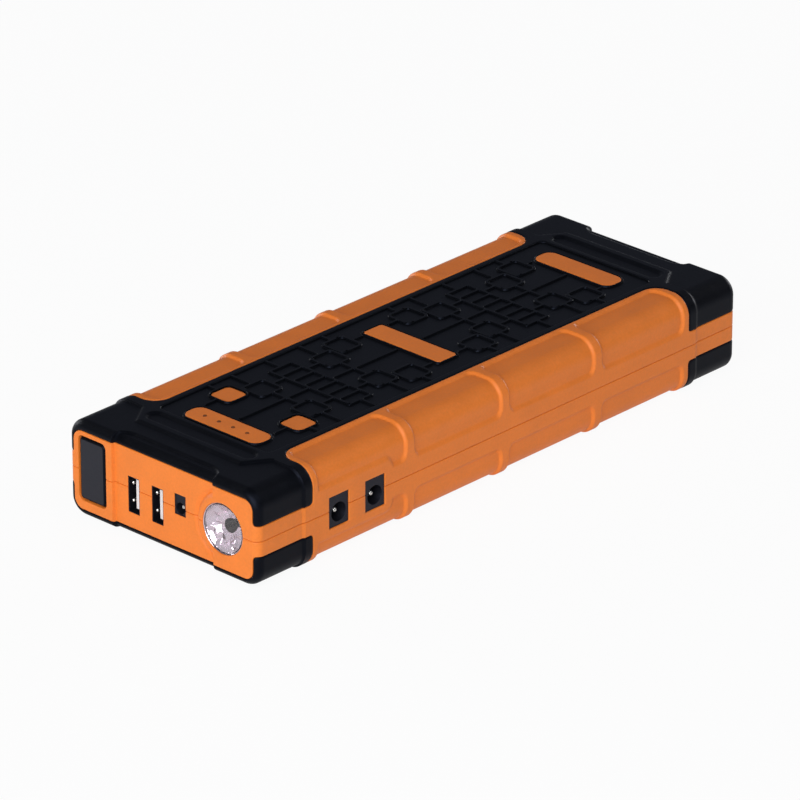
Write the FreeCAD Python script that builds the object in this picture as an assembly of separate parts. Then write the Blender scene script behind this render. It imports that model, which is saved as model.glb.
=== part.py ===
import FreeCAD, Part
import math
import os
from FreeCAD import Vector

# A hand-held jump starter pack: a flat orange case of two halves in a black rubbery skin,
# with its ports and lamp in the front face (towards -Y) and two outlets in the +X side.
# Millimetres. +Z is up, and the origin is the middle of the footprint, on the ground.

# Whole body
LENGTH = 227.0
WIDTH = 85.0
HEIGHT = 35.0
SEAM_DROP = 0.3
WALL = 3.0
LONG_EDGE_RADIUS = 7.0
CORNER_RADIUS = 5.0
END_EDGE_RADIUS = 2.8

# The two ends are set in from the middle stretch, and the middle of each end face again
END_STEP = 0.8
MIDDLE_TO_END = 20.6
RECESS_DEPTH = 1.2
RECESS_HALF_WIDTH = 22.3
RECESS_RUN = 4.0
RECESS_DROP = 0.9

# Black skin
SKIN = 1.1
DECK_BASE = 1.0
DECK_HALF_WIDTH = 27.2
BAND_HALF_HEIGHT = 5.2
WINDOW_END = 24.5
WINDOW_RADIUS = 6.0
FACE_SIDE_MARGIN = 2.8
FACE_BOTTOM_MARGIN = 3.3
FACE_TOP_MARGIN = 4.2
FACE_RADIUS = 3.7

# Raised plateau and pockets on the deck ends
PLATEAU_REACH = 12.0
PLATEAU_WIDE = 32.0
PLATEAU_NARROW = 21.0
SLOT_HALF_LENGTH = 22.5
SLOT_WIDTH = 5.8
SLOT_DEPTH = 0.8
SLOT_FROM_END = 15.1

# Recessed grip panel and its ridges
PANEL_HALF_WIDTH = 24.5
PANEL_FROM_END = 23.1
PANEL_RADIUS = 2.0
RELIEF_DEPTH = 1.0
RIDGE = 1.45
LADDER_HALF = 5.0
LADDER_BARS = 8
LADDER_PITCH = 5.1
BUTTON_COLLAR = 0.65
SQUARE_RADIUS = 1.7
INNER_SQUARE_X = 10.8
OUTER_SQUARE_X = 15.5
INNER_SQUARE_STEP = 15.55
OUTER_SQUARE_STEP = 26.1

# Orange lands that stand through the skin
LAND_HALF_WIDTH = 17.0
PLATE_HALF_LENGTH = 4.5
PLATE_RADIUS = 0.6
METER_FROM_END = 24.5
METER_WIDTH = 8.8
REAR_BAR_FROM_END = 27.5
REAR_BAR_WIDTH = 9.0
LAND_RADIUS = 3.4
LIGHT_DIAMETER = 1.2
LIGHT_PITCH = 6.25
LIGHT_COUNT = 4

# Orange side panels between the ribs
SIDE_PANELS = 4
RIB_WIDTH = 3.4
END_RIB = 2.4
PANEL_INSET = 0.9
PANEL_DECK_MARGIN = 1.1
PANEL_BAND_MARGIN = 0.4
PANEL_CORNER = 2.6
OUTLET_PAD_LENGTH = 36.0
OUTLET_PAD_HEIGHT = 17.9
OUTLET_PAD_RADIUS = 3.0

# Buttons
BUTTON = 9.2
BUTTON_RADIUS = 1.9
BUTTON_GAP = 0.15
BUTTON_TRAVEL = 0.4
BUTTON_FROM_METER = 12.4
BUTTON_FLANGE = 1.1
BUTTON_FLANGE_THICK = 1.0
BUTTON_STEM_DIAMETER = 3.2
BUTTON_STEM_SHARE = 0.2875
SWITCH_SIDE = 6.0
SWITCH_HEIGHT = 3.5
PLUNGER_DIAMETER = 3.4
PLUNGER_HEIGHT = 1.6
PLUNGER_DEPTH = 1.0
PLUNGER_GAP = 0.15

# Port openings in the front face
USB_X = (-13.9, -3.3)
USB_WIDTH = 5.0
USB_HEIGHT = 12.5
USB_DROP = 7.05
USB_CORNER = 0.5
USB_SHELL = 0.35
USB_BLOCK = 4.0
USB_DEPTH = 14.0
TONGUE_THICK = 1.85
TONGUE_SIDE_GAP = 0.35
TONGUE_END_GAP = 0.7
TONGUE_SETBACK = 0.9
CONTACT_COUNT = 4
CONTACT_SETBACK = 0.8
CONTACT_WIDTH = 1.0
CONTACT_PITCH = 2.5
CONTACT_THICK = 0.3
CHARGE_X = 6.8
CHARGE_WALL = 0.35
CHARGE_HEIGHT = 7.0
CHARGE_HOLE = 3.9
CHARGE_HOLE_DROP = 4.7
CHARGE_PIN = 1.3
CHARGE_DEPTH = 11.0

# Round outlets in the side
OUTLETS_FROM_END = (36.2, 52.6)
OUTLET_WALL = 1.15
OUTLET_HOLE = 6.5
OUTLET_HOLE_DROP = 6.2
OUTLET_HEIGHT = 10.9
OUTLET_PIN = 2.1
OUTLET_DEPTH = 13.0
OUTLET_SETBACK = 0.4
SOCKET_GAP = 0.1
PIN_SETBACK = 1.2
HOLE_FLOOR = 2.0

# Lamp
LAMP_FROM_SIDE = 15.9
LAMP_RING = 2.85
LAMP_HOLE_DIAMETER = 17.5
LAMP_HOLE_GAP = 0.1
LENS_SEAT = 0.95
LENS_THICK = 1.4
LENS_LIP = 1.2
LENS_SETBACK = 0.3
REFLECTOR_DEPTH = 12.0
REFLECTOR_WALL = 0.8
REFLECTOR_RIM = 1.0
REFLECTOR_BASE_DIAMETER = 7.0
LAMP_BOARD_SIDE = 15.0
LAMP_BOARD_THICK = 1.6
EMITTER_SIDE = 3.5
EMITTER_THICK = 0.8
EMITTER_DOME = 2.6
LAMP_RIB_THICK = 1.6

# Jump lead socket and its rubber cover
COVER_FROM_SIDE = 11.15
COVER_ABOVE_SEAM = 0.7
COVER_WIDTH = 12.3
COVER_GAP = 0.2
COVER_THICK = 1.8
COVER_RADIUS = 1.4
COVER_PLUG_INSET = 1.3
COVER_PLUG_DEPTH = 1.0
COVER_LIP = 0.7
SOCKET_WIDTH_MARGIN = 1.9
SOCKET_HEIGHT_MARGIN = 1.3
SOCKET_WALL = 2.5
SOCKET_SETBACK = 0.3
SOCKET_DEPTH = 20.0
SOCKET_RADIUS = 1.0
SOCKET_RIB_THICK = 2.0
SOCKET_RIBS_FROM_WALL = (4.0, 16.0)
CONTACT_BORE = 4.6
CONTACT_WALL = 0.5
CONTACT_GAP = 0.3
CONTACT_SPACING = 10.8
CONTACT_TAIL = 3.0
CONTACT_FLOOR = 8.0
CONTACT_COLLAR = (7.0, 4.0)
TETHER_THICK = 0.7
TETHER_HEIGHT = 8.0
TETHER_LENGTH = 6.0

# Main circuit board, hung component side down from the upper half
BOARD_THICK = 1.6
BOARD_FROM_COVER = 8.55
BOARD_SIDE_GAP = 0.7
BOARD_FRONT_GAP = 0.5
BOARD_LENGTH = 58.0
LAMP_GAP = 2.7
LED_CHIP = 1.6
LED_CHIP_HEIGHT = 0.8
LIGHT_PIPE_GAP = 0.3
LIGHT_BAR_WIDTH = 3.0
LIGHT_BAR_THICK = 1.2
PARTS_FROM_END = 39.5
INDUCTOR_X = 8.0
INDUCTOR_SIDE = 12.0
INDUCTOR_HEIGHT = 7.0
INDUCTOR_RADIUS = 2.5
CAPACITOR_X = (-16.0, -6.0)
CAPACITOR_DIAMETER = 8.0
CAPACITOR_HEIGHT = 11.5
CHIP_X = 3.0
CHIP_FROM_END = 24.0
CHIP_SIZE = (10.0, 7.0, 1.2)

# Battery of three flat cells
CELL_WIDTH = 60.0
CELL_RADIUS = 3.0
CELL_FROM_BOARD = 10.0
CELL_FROM_END = 10.5
CELL_COUNT = 3
SPACER_THICK = 0.5
BASE_PAD_THICK = 1.0
TOP_PAD_THICK = 1.8
TAB_WIDTH = 8.0
TAB_THICK = 0.5
TAB_REACH = 3.5
LINK_X = (14.0, 0.0)
TERMINAL_FROM_BOARD = 2.8
STRAP_FROM_BOARD = 8.8
STRAP_WIDTH = 3.0
STRAP_LENGTH = 9.0
LEAD_DIAMETER = 4.6
LEAD_RUN = 10.5
LEAD_RISE = 0.2

# Fastening
SCREW_DIAMETER = 2.9
SCREW_GAP = 0.1
SCREW_HEAD_DIAMETER = 5.2
SCREW_HEAD_HEIGHT = 2.0
SCREW_HEAD_Z = 4.0
SCREW_LENGTH = 20.0
BOSS_WALL = 1.45
BOSS_BASE_WALL = 1.3
BOSS_FLOOR = 2.0
BOSS_FOOTING = 0.5
SIDE_SCREW_INSET = 9.1
FRONT_SCREW_INSET = 7.7
REAR_SCREW_INSET = 6.5
BOARD_SCREW_GAP = 3.0
BOARD_SCREW_DIAMETER = 2.0
BOARD_SCREW_HEAD_DIAMETER = 4.0
BOARD_SCREW_HEAD_HEIGHT = 1.4
BOARD_SCREW_LENGTH = 6.0
STANDOFF_WALL = 1.5
STANDOFF_INSET = 3.4
STANDOFF_RIGHT = 14.0
STANDOFF_REAR = 4.0
FRONT_SCREW_FROM_BOARD = 2.0
FRONT_SCREW_FROM_LAMP = 1.4
PILOT_DEPTH = 1.0

# Worked out from the sizes above
HALF_WIDTH = WIDTH / 2
HALF_LENGTH = LENGTH / 2
FRONT = -HALF_LENGTH
SEAM_Z = HEIGHT / 2 - SEAM_DROP
CEILING = HEIGHT - WALL
INSIDE_FRONT = FRONT + WALL
INSIDE_END = HALF_LENGTH - WALL
INSIDE_HALF_WIDTH = HALF_WIDTH - END_STEP - WALL
MIDDLE_END = HALF_LENGTH - MIDDLE_TO_END
WINDOW_Y = HALF_LENGTH - WINDOW_END
BAND_TOP = SEAM_Z + BAND_HALF_HEIGHT
BAND_BOTTOM = SEAM_Z - BAND_HALF_HEIGHT
FACE_HALF_WIDTH = HALF_WIDTH - FACE_SIDE_MARGIN
PANEL_END = HALF_LENGTH - PANEL_FROM_END
RELIEF_FLOOR = HEIGHT - RELIEF_DEPTH
METER_FRONT = FRONT + METER_FROM_END
METER_REAR = METER_FRONT + METER_WIDTH
REAR_BAR_REAR = HALF_LENGTH - REAR_BAR_FROM_END
REAR_BAR_FRONT = REAR_BAR_REAR - REAR_BAR_WIDTH
BUTTON_Y = METER_REAR + BUTTON_FROM_METER
SQUARE = BUTTON + 2 * (BUTTON_GAP + BUTTON_COLLAR)
LADDER_Y = -BUTTON_Y - OUTER_SQUARE_STEP

# The key stems take their share of the height that the stack from floor to ceiling leaves free
FREE_HEIGHT = (CEILING - WALL - BUTTON_FLANGE_THICK - PLUNGER_HEIGHT - SWITCH_HEIGHT - BOARD_THICK
               - USB_DROP - USB_HEIGHT / 2)
BUTTON_STEM_LENGTH = BUTTON_STEM_SHARE * FREE_HEIGHT
PLUNGER_TOP = CEILING - BUTTON_FLANGE_THICK - BUTTON_STEM_LENGTH
SWITCH_TOP = PLUNGER_TOP - PLUNGER_HEIGHT
BOARD_TOP = SWITCH_TOP - SWITCH_HEIGHT
BOARD_BOTTOM = BOARD_TOP - BOARD_THICK
USB_Z = BOARD_BOTTOM - USB_DROP
USB_BACK = INSIDE_FRONT + USB_DEPTH
CHARGE_WIDTH = CHARGE_HOLE + 2 * CHARGE_WALL
OUTLET_WIDTH = OUTLET_HOLE + 2 * OUTLET_WALL
CHARGE_HOLE_Z = BOARD_BOTTOM - CHARGE_HOLE_DROP
OUTLET_HOLE_Z = BOARD_BOTTOM - OUTLET_HOLE_DROP
OUTLET_Y = tuple(FRONT + d for d in OUTLETS_FROM_END)
OUTLET_FACE = HALF_WIDTH - OUTLET_SETBACK
SOCKET_FACE = FRONT + RECESS_DEPTH + OUTLET_SETBACK

LAMP_X = HALF_WIDTH - LAMP_FROM_SIDE
LAMP_RING_RADIUS = LAMP_HOLE_DIAMETER / 2 + LAMP_RING
LENS_DIAMETER = LAMP_HOLE_DIAMETER + 2 * LENS_SEAT
LENS_FRONT = FRONT + LENS_LIP
REFLECTOR_FRONT = LENS_FRONT + LENS_THICK
LAMP_BOARD_FRONT = REFLECTOR_FRONT + REFLECTOR_DEPTH
LAMP_BOARD_BACK = LAMP_BOARD_FRONT + LAMP_BOARD_THICK

COVER_X = COVER_FROM_SIDE - HALF_WIDTH
COVER_Z = SEAM_Z + COVER_ABOVE_SEAM
SOCKET_WIDTH = COVER_WIDTH - SOCKET_WIDTH_MARGIN
SOCKET_FRONT = FRONT + COVER_THICK + COVER_PLUG_DEPTH + SOCKET_SETBACK
CONTACT_BACK = SOCKET_FRONT + SOCKET_DEPTH + CONTACT_TAIL
CONTACT_TUBE = CONTACT_BORE + 2 * CONTACT_WALL
SOCKET_HEIGHT = CONTACT_SPACING + CONTACT_TUBE + 2 * SOCKET_WALL
COVER_HEIGHT = SOCKET_HEIGHT + SOCKET_HEIGHT_MARGIN
CONTACT_HOLE = CONTACT_TUBE + 2 * CONTACT_GAP
CONTACT_Z = {"positive": COVER_Z + CONTACT_SPACING / 2, "negative": COVER_Z - CONTACT_SPACING / 2}

BOARD_LEFT = COVER_X + BOARD_FROM_COVER
BOARD_RIGHT = INSIDE_HALF_WIDTH - BOARD_SIDE_GAP
BOARD_FRONT = INSIDE_FRONT + BOARD_FRONT_GAP
BOARD_REAR = BOARD_FRONT + BOARD_LENGTH
LAMP_NOTCH_X = LAMP_X - LENS_DIAMETER / 2 - LAMP_GAP
LAMP_NOTCH_Y = LAMP_BOARD_BACK + LAMP_RIB_THICK + LAMP_GAP
PARTS_Y = FRONT + PARTS_FROM_END

CELL_FRONT = BOARD_REAR + CELL_FROM_BOARD
CELL_REAR = HALF_LENGTH - CELL_FROM_END
STACK_BOTTOM = WALL + BASE_PAD_THICK
STACK_TOP = CEILING - TOP_PAD_THICK
CELL_PITCH = (STACK_TOP - STACK_BOTTOM + SPACER_THICK) / CELL_COUNT
CELL_THICK = CELL_PITCH - SPACER_THICK
TERMINAL_X = BOARD_LEFT - TERMINAL_FROM_BOARD
TERMINAL_FRONT = CELL_FRONT - TAB_REACH
STRAP_X = BOARD_LEFT + STRAP_FROM_BOARD

BOSS_DIAMETER = SCREW_DIAMETER + 2 * BOSS_WALL
STANDOFF_DIAMETER = BOARD_SCREW_DIAMETER + 2 * STANDOFF_WALL
SIDE_SCREW_X = HALF_WIDTH - SIDE_SCREW_INSET
FRONT_SCREW_Y = FRONT + FRONT_SCREW_INSET
BOARD_SCREW_Y = BOARD_REAR + BOARD_SCREW_GAP
REAR_SCREW_Y = HALF_LENGTH - REAR_SCREW_INSET
CASE_SCREWS = (
    (BOARD_LEFT + FRONT_SCREW_FROM_BOARD, FRONT_SCREW_Y),
    (LAMP_NOTCH_X - FRONT_SCREW_FROM_LAMP, FRONT_SCREW_Y),
    (-SIDE_SCREW_X, BOARD_SCREW_Y), (SIDE_SCREW_X, BOARD_SCREW_Y),
    (-SIDE_SCREW_X, REAR_SCREW_Y), (SIDE_SCREW_X, REAR_SCREW_Y),
)
SCREW_TIP = SCREW_HEAD_Z + SCREW_LENGTH
BOARD_SCREWS = (
    (BOARD_LEFT + STANDOFF_INSET, LAMP_NOTCH_Y),
    (BOARD_LEFT + STANDOFF_INSET, BOARD_REAR - STANDOFF_REAR),
    (BOARD_RIGHT - STANDOFF_RIGHT, LAMP_NOTCH_Y + STANDOFF_INSET),
    (BOARD_RIGHT - STANDOFF_RIGHT, BOARD_REAR - STANDOFF_REAR),
)
FAR = 2 * LENGTH
ROOT2 = math.sqrt(2)


def box(x0, x1, y0, y1, z0, z1):
    return Part.makeBox(x1 - x0, y1 - y0, z1 - z0, Vector(x0, y0, z0))


def round_face(a0, a1, b0, b1, radius):
    """Rounded rectangle in a plane, as a face with its normal along Z."""
    face = Part.makePlane(a1 - a0, b1 - b0, Vector(a0, b0, 0))
    solid = face.extrude(Vector(0, 0, 1))
    if radius > 0:
        corners = [e for e in solid.Edges if abs(e.BoundBox.ZLength - 1) < 1e-6]
        solid = solid.makeFillet(radius, corners)
    return min(solid.Faces, key=lambda f: f.CenterOfMass.z)


def prism_z(x0, x1, y0, y1, z0, z1, radius):
    face = round_face(x0, x1, y0, y1, radius)
    face.translate(Vector(0, 0, z0))
    return face.extrude(Vector(0, 0, z1 - z0))


def prism_y(x0, x1, y0, y1, z0, z1, radius):
    face = round_face(x0, x1, -z1, -z0, radius)
    face.rotate(Vector(0, 0, 0), Vector(1, 0, 0), -90)
    face.translate(Vector(0, y0, 0))
    return face.extrude(Vector(0, y1 - y0, 0))


def prism_x(x0, x1, y0, y1, z0, z1, radius):
    face = round_face(-z1, -z0, y0, y1, radius)
    face.rotate(Vector(0, 0, 0), Vector(0, 1, 0), 90)
    face.translate(Vector(x0, 0, 0))
    return face.extrude(Vector(x1 - x0, 0, 0))


def rod_z(x, y, z0, z1, diameter):
    return Part.makeCylinder(diameter / 2, z1 - z0, Vector(x, y, z0), Vector(0, 0, 1))


def rod_y(x, z, y0, y1, diameter):
    return Part.makeCylinder(diameter / 2, y1 - y0, Vector(x, y0, z), Vector(0, 1, 0))


def rod_x(y, z, x0, x1, diameter):
    return Part.makeCylinder(diameter / 2, x1 - x0, Vector(x0, y, z), Vector(1, 0, 0))


def outline(points, z0, z1):
    wire = Part.makePolygon([Vector(x, y, z0) for x, y in points + points[:1]])
    return Part.Face(wire).extrude(Vector(0, 0, z1 - z0))


def join(shapes):
    return shapes[0].multiFuse(list(shapes[1:])).removeSplitter()


def save(name, *solids):
    shape = solids[0] if len(solids) == 1 else Part.makeCompound(list(solids))
    shape.exportStep(f"parts/{name}.step")


def middle_slab(inset):
    """Stretch between the two ends, as wide and high as the whole body."""
    half = HALF_WIDTH - inset
    end = MIDDLE_END - inset
    return prism_y(-half, half, -end, end, inset, HEIGHT - inset, LONG_EDGE_RADIUS - inset)


def end_slab(inset):
    """Full length body that shows at the two ends, a step smaller than the middle."""
    step = END_STEP + inset
    half = HALF_WIDTH - step
    end = HALF_LENGTH - inset
    top = HEIGHT - step
    side = prism_y(-half, half, -end, end, step, top, LONG_EDGE_RADIUS - step)
    plan = prism_z(-half, half, -end, end, step, top, CORNER_RADIUS - inset)
    ends = prism_x(-half, half, -end, end, step, top, END_EDGE_RADIUS - inset)
    return side.common(plan).common(ends)


def plateau(inset):
    """Raised tongue that carries the deck level out over each end."""
    near = MIDDLE_END - inset - 1.0
    far = MIDDLE_END - inset
    tip = HALF_LENGTH - PLATEAU_REACH - inset
    wide = PLATEAU_WIDE - inset
    narrow = PLATEAU_NARROW - inset
    points = [(-wide, near), (-wide, far), (-narrow, tip), (narrow, tip), (wide, far), (wide, near)]
    front = outline([(x, -y) for x, y in points], inset, HEIGHT - inset)
    rear = outline(points, inset, HEIGHT - inset)
    return [front, rear]


def end_recess(inset):
    """What the shallow recess in the middle of each end face takes away."""
    half = RECESS_HALF_WIDTH + inset
    start = HALF_LENGTH - RECESS_RUN - inset
    end = HALF_LENGTH - RECESS_DEPTH - inset
    drop = END_STEP + RECESS_DROP + inset
    core = prism_x(-half, half, -end, end, drop, HEIGHT - drop, END_EDGE_RADIUS - inset)
    front = box(-half, half, -LENGTH, -start, -1, HEIGHT + 1).cut(core)
    rear = box(-half, half, start, LENGTH, -1, HEIGHT + 1).cut(core)
    ring = rod_y(LAMP_X, SEAM_Z, -LENGTH, -start + 1, 2 * (LAMP_RING_RADIUS - inset))
    return [front.cut(ring), rear]


def body(inset):
    """Outside of the whole pack, or the same shape drawn in by an even amount."""
    shape = middle_slab(inset).multiFuse([end_slab(inset)] + plateau(inset))
    return shape.cut(end_recess(inset))


def window_prisms():
    """Plan of the orange side windows, right through the height."""
    right = prism_z(DECK_HALF_WIDTH, WIDTH, -WINDOW_Y, WINDOW_Y, -1, HEIGHT + 1, WINDOW_RADIUS)
    left = right.mirror(Vector(0, 0, 0), Vector(1, 0, 0))
    return [right, left]


def face_windows():
    """Orange end faces, framed by the skin."""
    front = prism_y(-FACE_HALF_WIDTH, FACE_HALF_WIDTH, FRONT - 1, INSIDE_FRONT + 1,
                    FACE_BOTTOM_MARGIN, HEIGHT - FACE_TOP_MARGIN, FACE_RADIUS)
    return [front, front.mirror(Vector(0, 0, 0), Vector(0, 1, 0))]


def land_prism(y0, y1, radius, z0, z1):
    return prism_z(-LAND_HALF_WIDTH, LAND_HALF_WIDTH, y0, y1, z0, z1, radius)


def lands(z0, z1):
    """Orange lands of the upper half: charge meter, bare plate and rear bar."""
    return [
        land_prism(METER_FRONT, METER_REAR, LAND_RADIUS, z0, z1),
        land_prism(-PLATE_HALF_LENGTH, PLATE_HALF_LENGTH, PLATE_RADIUS, z0, z1),
        land_prism(REAR_BAR_FRONT, REAR_BAR_REAR, LAND_RADIUS, z0, z1),
    ]


def button_centres():
    return {"power": (-OUTER_SQUARE_X, BUTTON_Y), "lamp": (OUTER_SQUARE_X, BUTTON_Y)}


def light_xs():
    first = -LIGHT_PITCH * (LIGHT_COUNT - 1) / 2
    return [first + LIGHT_PITCH * k for k in range(LIGHT_COUNT)]


def light_y():
    return (METER_FRONT + METER_REAR) / 2


def ridge(x0, x1, y0, y1):
    """Straight ridge along the line between two points, square ended."""
    half = RIDGE / 2
    return box(min(x0, x1) - half, max(x0, x1) + half, min(y0, y1) - half, max(y0, y1) + half,
               RELIEF_FLOOR - 1, HEIGHT)


def square_ridge(x, y):
    outer = SQUARE / 2
    inner = outer - RIDGE
    ring = prism_z(x - outer, x + outer, y - outer, y + outer, RELIEF_FLOOR - 1, HEIGHT, SQUARE_RADIUS)
    hole = prism_z(x - inner, x + inner, y - inner, y + inner, RELIEF_FLOOR - 1, HEIGHT,
                   SQUARE_RADIUS / 2)
    return ring.cut(hole)


def button_collar(x, y):
    outer = SQUARE / 2
    return prism_z(x - outer, x + outer, y - outer, y + outer, RELIEF_FLOOR - 1, HEIGHT, SQUARE_RADIUS)


def ladder_ridges(y):
    half = LADDER_PITCH * (LADDER_BARS - 1) / 2
    rails = [ridge(-half, half, y + side, y + side) for side in (-LADDER_HALF, LADDER_HALF)]
    bars = [ridge(x, x, y - LADDER_HALF, y + LADDER_HALF)
            for x in (-half + LADDER_PITCH * k for k in range(LADDER_BARS))]
    stubs = [ridge(s * half, s * PANEL_HALF_WIDTH, y, y) for s in (-1, 1)]
    return rails + bars + stubs


def square_group(y, away, end_y):
    """Two inner and two outer squares on one side of a ladder, with the runs that join them."""
    half = (SQUARE - RIDGE) / 2
    inner_y = y + away * INNER_SQUARE_STEP
    outer_y = y + away * OUTER_SQUARE_STEP
    rail_y = y + away * LADDER_HALF
    pieces = [ridge(0, 0, rail_y, end_y)]
    is_button = outer_y < -LADDER_Y - LADDER_HALF
    for s in (-1, 1):
        inner_x = s * INNER_SQUARE_X
        outer_x = s * OUTER_SQUARE_X
        pieces.append(square_ridge(inner_x, inner_y))
        pieces.append(button_collar(outer_x, outer_y) if is_button else square_ridge(outer_x, outer_y))
        pieces.append(ridge(inner_x, inner_x, rail_y, inner_y - away * half))
        pieces.append(ridge(0, inner_x - s * half, inner_y, inner_y))
        pieces.append(ridge(inner_x + s * half, s * PANEL_HALF_WIDTH, inner_y, inner_y))
        pieces.append(ridge(outer_x + s * half, s * PANEL_HALF_WIDTH, outer_y, outer_y))
        pieces.append(ridge(outer_x, outer_x, outer_y + away * half, end_y))
    return pieces


def relief():
    """Everything that stands up from the floor of the grip panel, lands apart."""
    half = RIDGE / 2
    pieces = []
    for side in (-1, 1):
        y = side * LADDER_Y
        pieces += ladder_ridges(y)
        pieces += square_group(y, -side, side * (PLATE_HALF_LENGTH + half))
    pieces += square_group(-LADDER_Y, -1, METER_REAR + half)
    pieces += square_group(LADDER_Y, 1, REAR_BAR_FRONT - half)
    return pieces


def deck_pocket():
    """Space above the floor of the grip panel, between the ridges."""
    panel = prism_z(-PANEL_HALF_WIDTH, PANEL_HALF_WIDTH, -PANEL_END, PANEL_END,
                    RELIEF_FLOOR, HEIGHT + 1, PANEL_RADIUS)
    stands = lands(RELIEF_FLOOR - 1, HEIGHT + 2)
    tall = [p.fuse(moved(p, 0, 0, 2)) for p in relief()]
    return panel.cut(stands + tall)


def moved(shape, dx, dy, dz):
    copy = shape.copy()
    copy.translate(Vector(dx, dy, dz))
    return copy


def slot_pockets():
    near = HALF_LENGTH - SLOT_FROM_END - SLOT_WIDTH
    far = HALF_LENGTH - SLOT_FROM_END
    rear = prism_z(-SLOT_HALF_LENGTH, SLOT_HALF_LENGTH, near, far,
                   HEIGHT - SLOT_DEPTH, HEIGHT + 1, SLOT_WIDTH / 2 - 0.01)
    return [rear, rear.mirror(Vector(0, 0, 0), Vector(0, 1, 0))]


def deck_base(z0, z1):
    """Extra thickness of skin under the grip panel, let into the case."""
    side = PANEL_HALF_WIDTH + SKIN
    end = PANEL_END + SKIN
    return prism_z(-side, side, -end, end, z0, z1, PANEL_RADIUS)


def skin_blank(outer, inner, upper):
    """Black skin of one half before its pockets are cut."""
    cut_away = window_prisms() + face_windows()
    if upper:
        keep = box(-FAR, FAR, -FAR, FAR, BAND_TOP, FAR)
        base = deck_base(RELIEF_FLOOR - DECK_BASE, HEIGHT - SKIN)
    else:
        keep = box(-FAR, FAR, -FAR, FAR, -FAR, BAND_BOTTOM)
        base = deck_base(SKIN, RELIEF_DEPTH + DECK_BASE)
    return outer.cut(inner).common(keep).cut(cut_away).fuse(base)


def side_panels(outer, upper):
    """What the sunk panels between the ribs take from the orange sides."""
    core = middle_slab(PANEL_INSET)
    deck_x = DECK_HALF_WIDTH + PANEL_DECK_MARGIN
    end = WINDOW_Y - END_RIB
    pitch = 2 * WINDOW_Y / SIDE_PANELS
    if upper:
        across = [(deck_x - HEIGHT) / ROOT2, (HALF_WIDTH - BAND_TOP - PANEL_BAND_MARGIN) / ROOT2]
    else:
        across = [deck_x / ROOT2, (HALF_WIDTH + BAND_BOTTOM) / ROOT2]
    cutters = []
    for k in range(SIDE_PANELS):
        y0 = max(-end, pitch * k - WINDOW_Y + RIB_WIDTH / 2)
        y1 = min(end, pitch * (k + 1) - WINDOW_Y - RIB_WIDTH / 2)
        face = round_face(across[0], across[1], y0, y1, PANEL_CORNER)
        slab = face.extrude(Vector(0, 0, WIDTH))
        slab.rotate(Vector(0, 0, 0), Vector(0, 1, 0), 45)
        if not upper:
            slab = slab.mirror(Vector(0, 0, 0), Vector(0, 0, 1))
        cutters.append(slab.cut(core))
    pad = prism_x(0, FAR, -WINDOW_Y, OUTLET_PAD_LENGTH - WINDOW_Y, SEAM_Z - OUTLET_PAD_HEIGHT / 2,
                  SEAM_Z + OUTLET_PAD_HEIGHT / 2, OUTLET_PAD_RADIUS)
    left = [c.mirror(Vector(0, 0, 0), Vector(1, 0, 0)) for c in cutters]
    return [c.cut(pad) for c in cutters] + left


def cavity():
    return prism_y(-INSIDE_HALF_WIDTH, INSIDE_HALF_WIDTH, -INSIDE_END, INSIDE_END,
                   WALL, CEILING, LONG_EDGE_RADIUS - WALL)


def port_cuts():
    """Openings through the walls of the case for the sockets, lamp and cover."""
    cuts = []
    for x in USB_X:
        cuts.append(prism_y(x - USB_WIDTH / 2, x + USB_WIDTH / 2, FRONT - 1, INSIDE_FRONT + 1,
                            USB_Z - USB_HEIGHT / 2, USB_Z + USB_HEIGHT / 2, USB_CORNER))
    cuts.append(box(CHARGE_X - CHARGE_WIDTH / 2 - SOCKET_GAP, CHARGE_X + CHARGE_WIDTH / 2 + SOCKET_GAP,
                    FRONT - 1, INSIDE_FRONT + 1,
                    BOARD_BOTTOM - CHARGE_HEIGHT - SOCKET_GAP, BOARD_BOTTOM))
    for y in OUTLET_Y:
        cuts.append(box(INSIDE_HALF_WIDTH - 1, WIDTH,
                        y - OUTLET_WIDTH / 2 - SOCKET_GAP, y + OUTLET_WIDTH / 2 + SOCKET_GAP,
                        BOARD_BOTTOM - OUTLET_HEIGHT - SOCKET_GAP, BOARD_BOTTOM))
    cuts.append(rod_y(LAMP_X, SEAM_Z, FRONT - 1, INSIDE_FRONT + 1, LAMP_HOLE_DIAMETER))
    cuts.append(rod_y(LAMP_X, SEAM_Z, LENS_FRONT, INSIDE_FRONT + 1, LENS_DIAMETER + 2 * LAMP_HOLE_GAP))
    cuts.append(prism_y(COVER_X - COVER_WIDTH / 2, COVER_X + COVER_WIDTH / 2, FRONT - 1,
                        INSIDE_FRONT + 1, COVER_Z - COVER_HEIGHT / 2, COVER_Z + COVER_HEIGHT / 2,
                        COVER_RADIUS))
    return cuts


def socket_rib(y, z0, z1):
    """Rib across the case that the jump socket rests on."""
    half = SOCKET_WIDTH / 2
    return box(COVER_X - half, COVER_X + half, y, y + SOCKET_RIB_THICK, z0, z1)


def upper_bosses():
    top = CEILING + BOSS_FOOTING
    bosses = [rod_z(x, y, SEAM_Z, top, BOSS_DIAMETER) for x, y in CASE_SCREWS]
    standoffs = [rod_z(x, y, BOARD_TOP, top, STANDOFF_DIAMETER) for x, y in BOARD_SCREWS]
    rib = socket_rib(INSIDE_FRONT + SOCKET_RIBS_FROM_WALL[0], COVER_Z + SOCKET_HEIGHT / 2, top)
    return bosses + standoffs + [rib]


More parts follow.
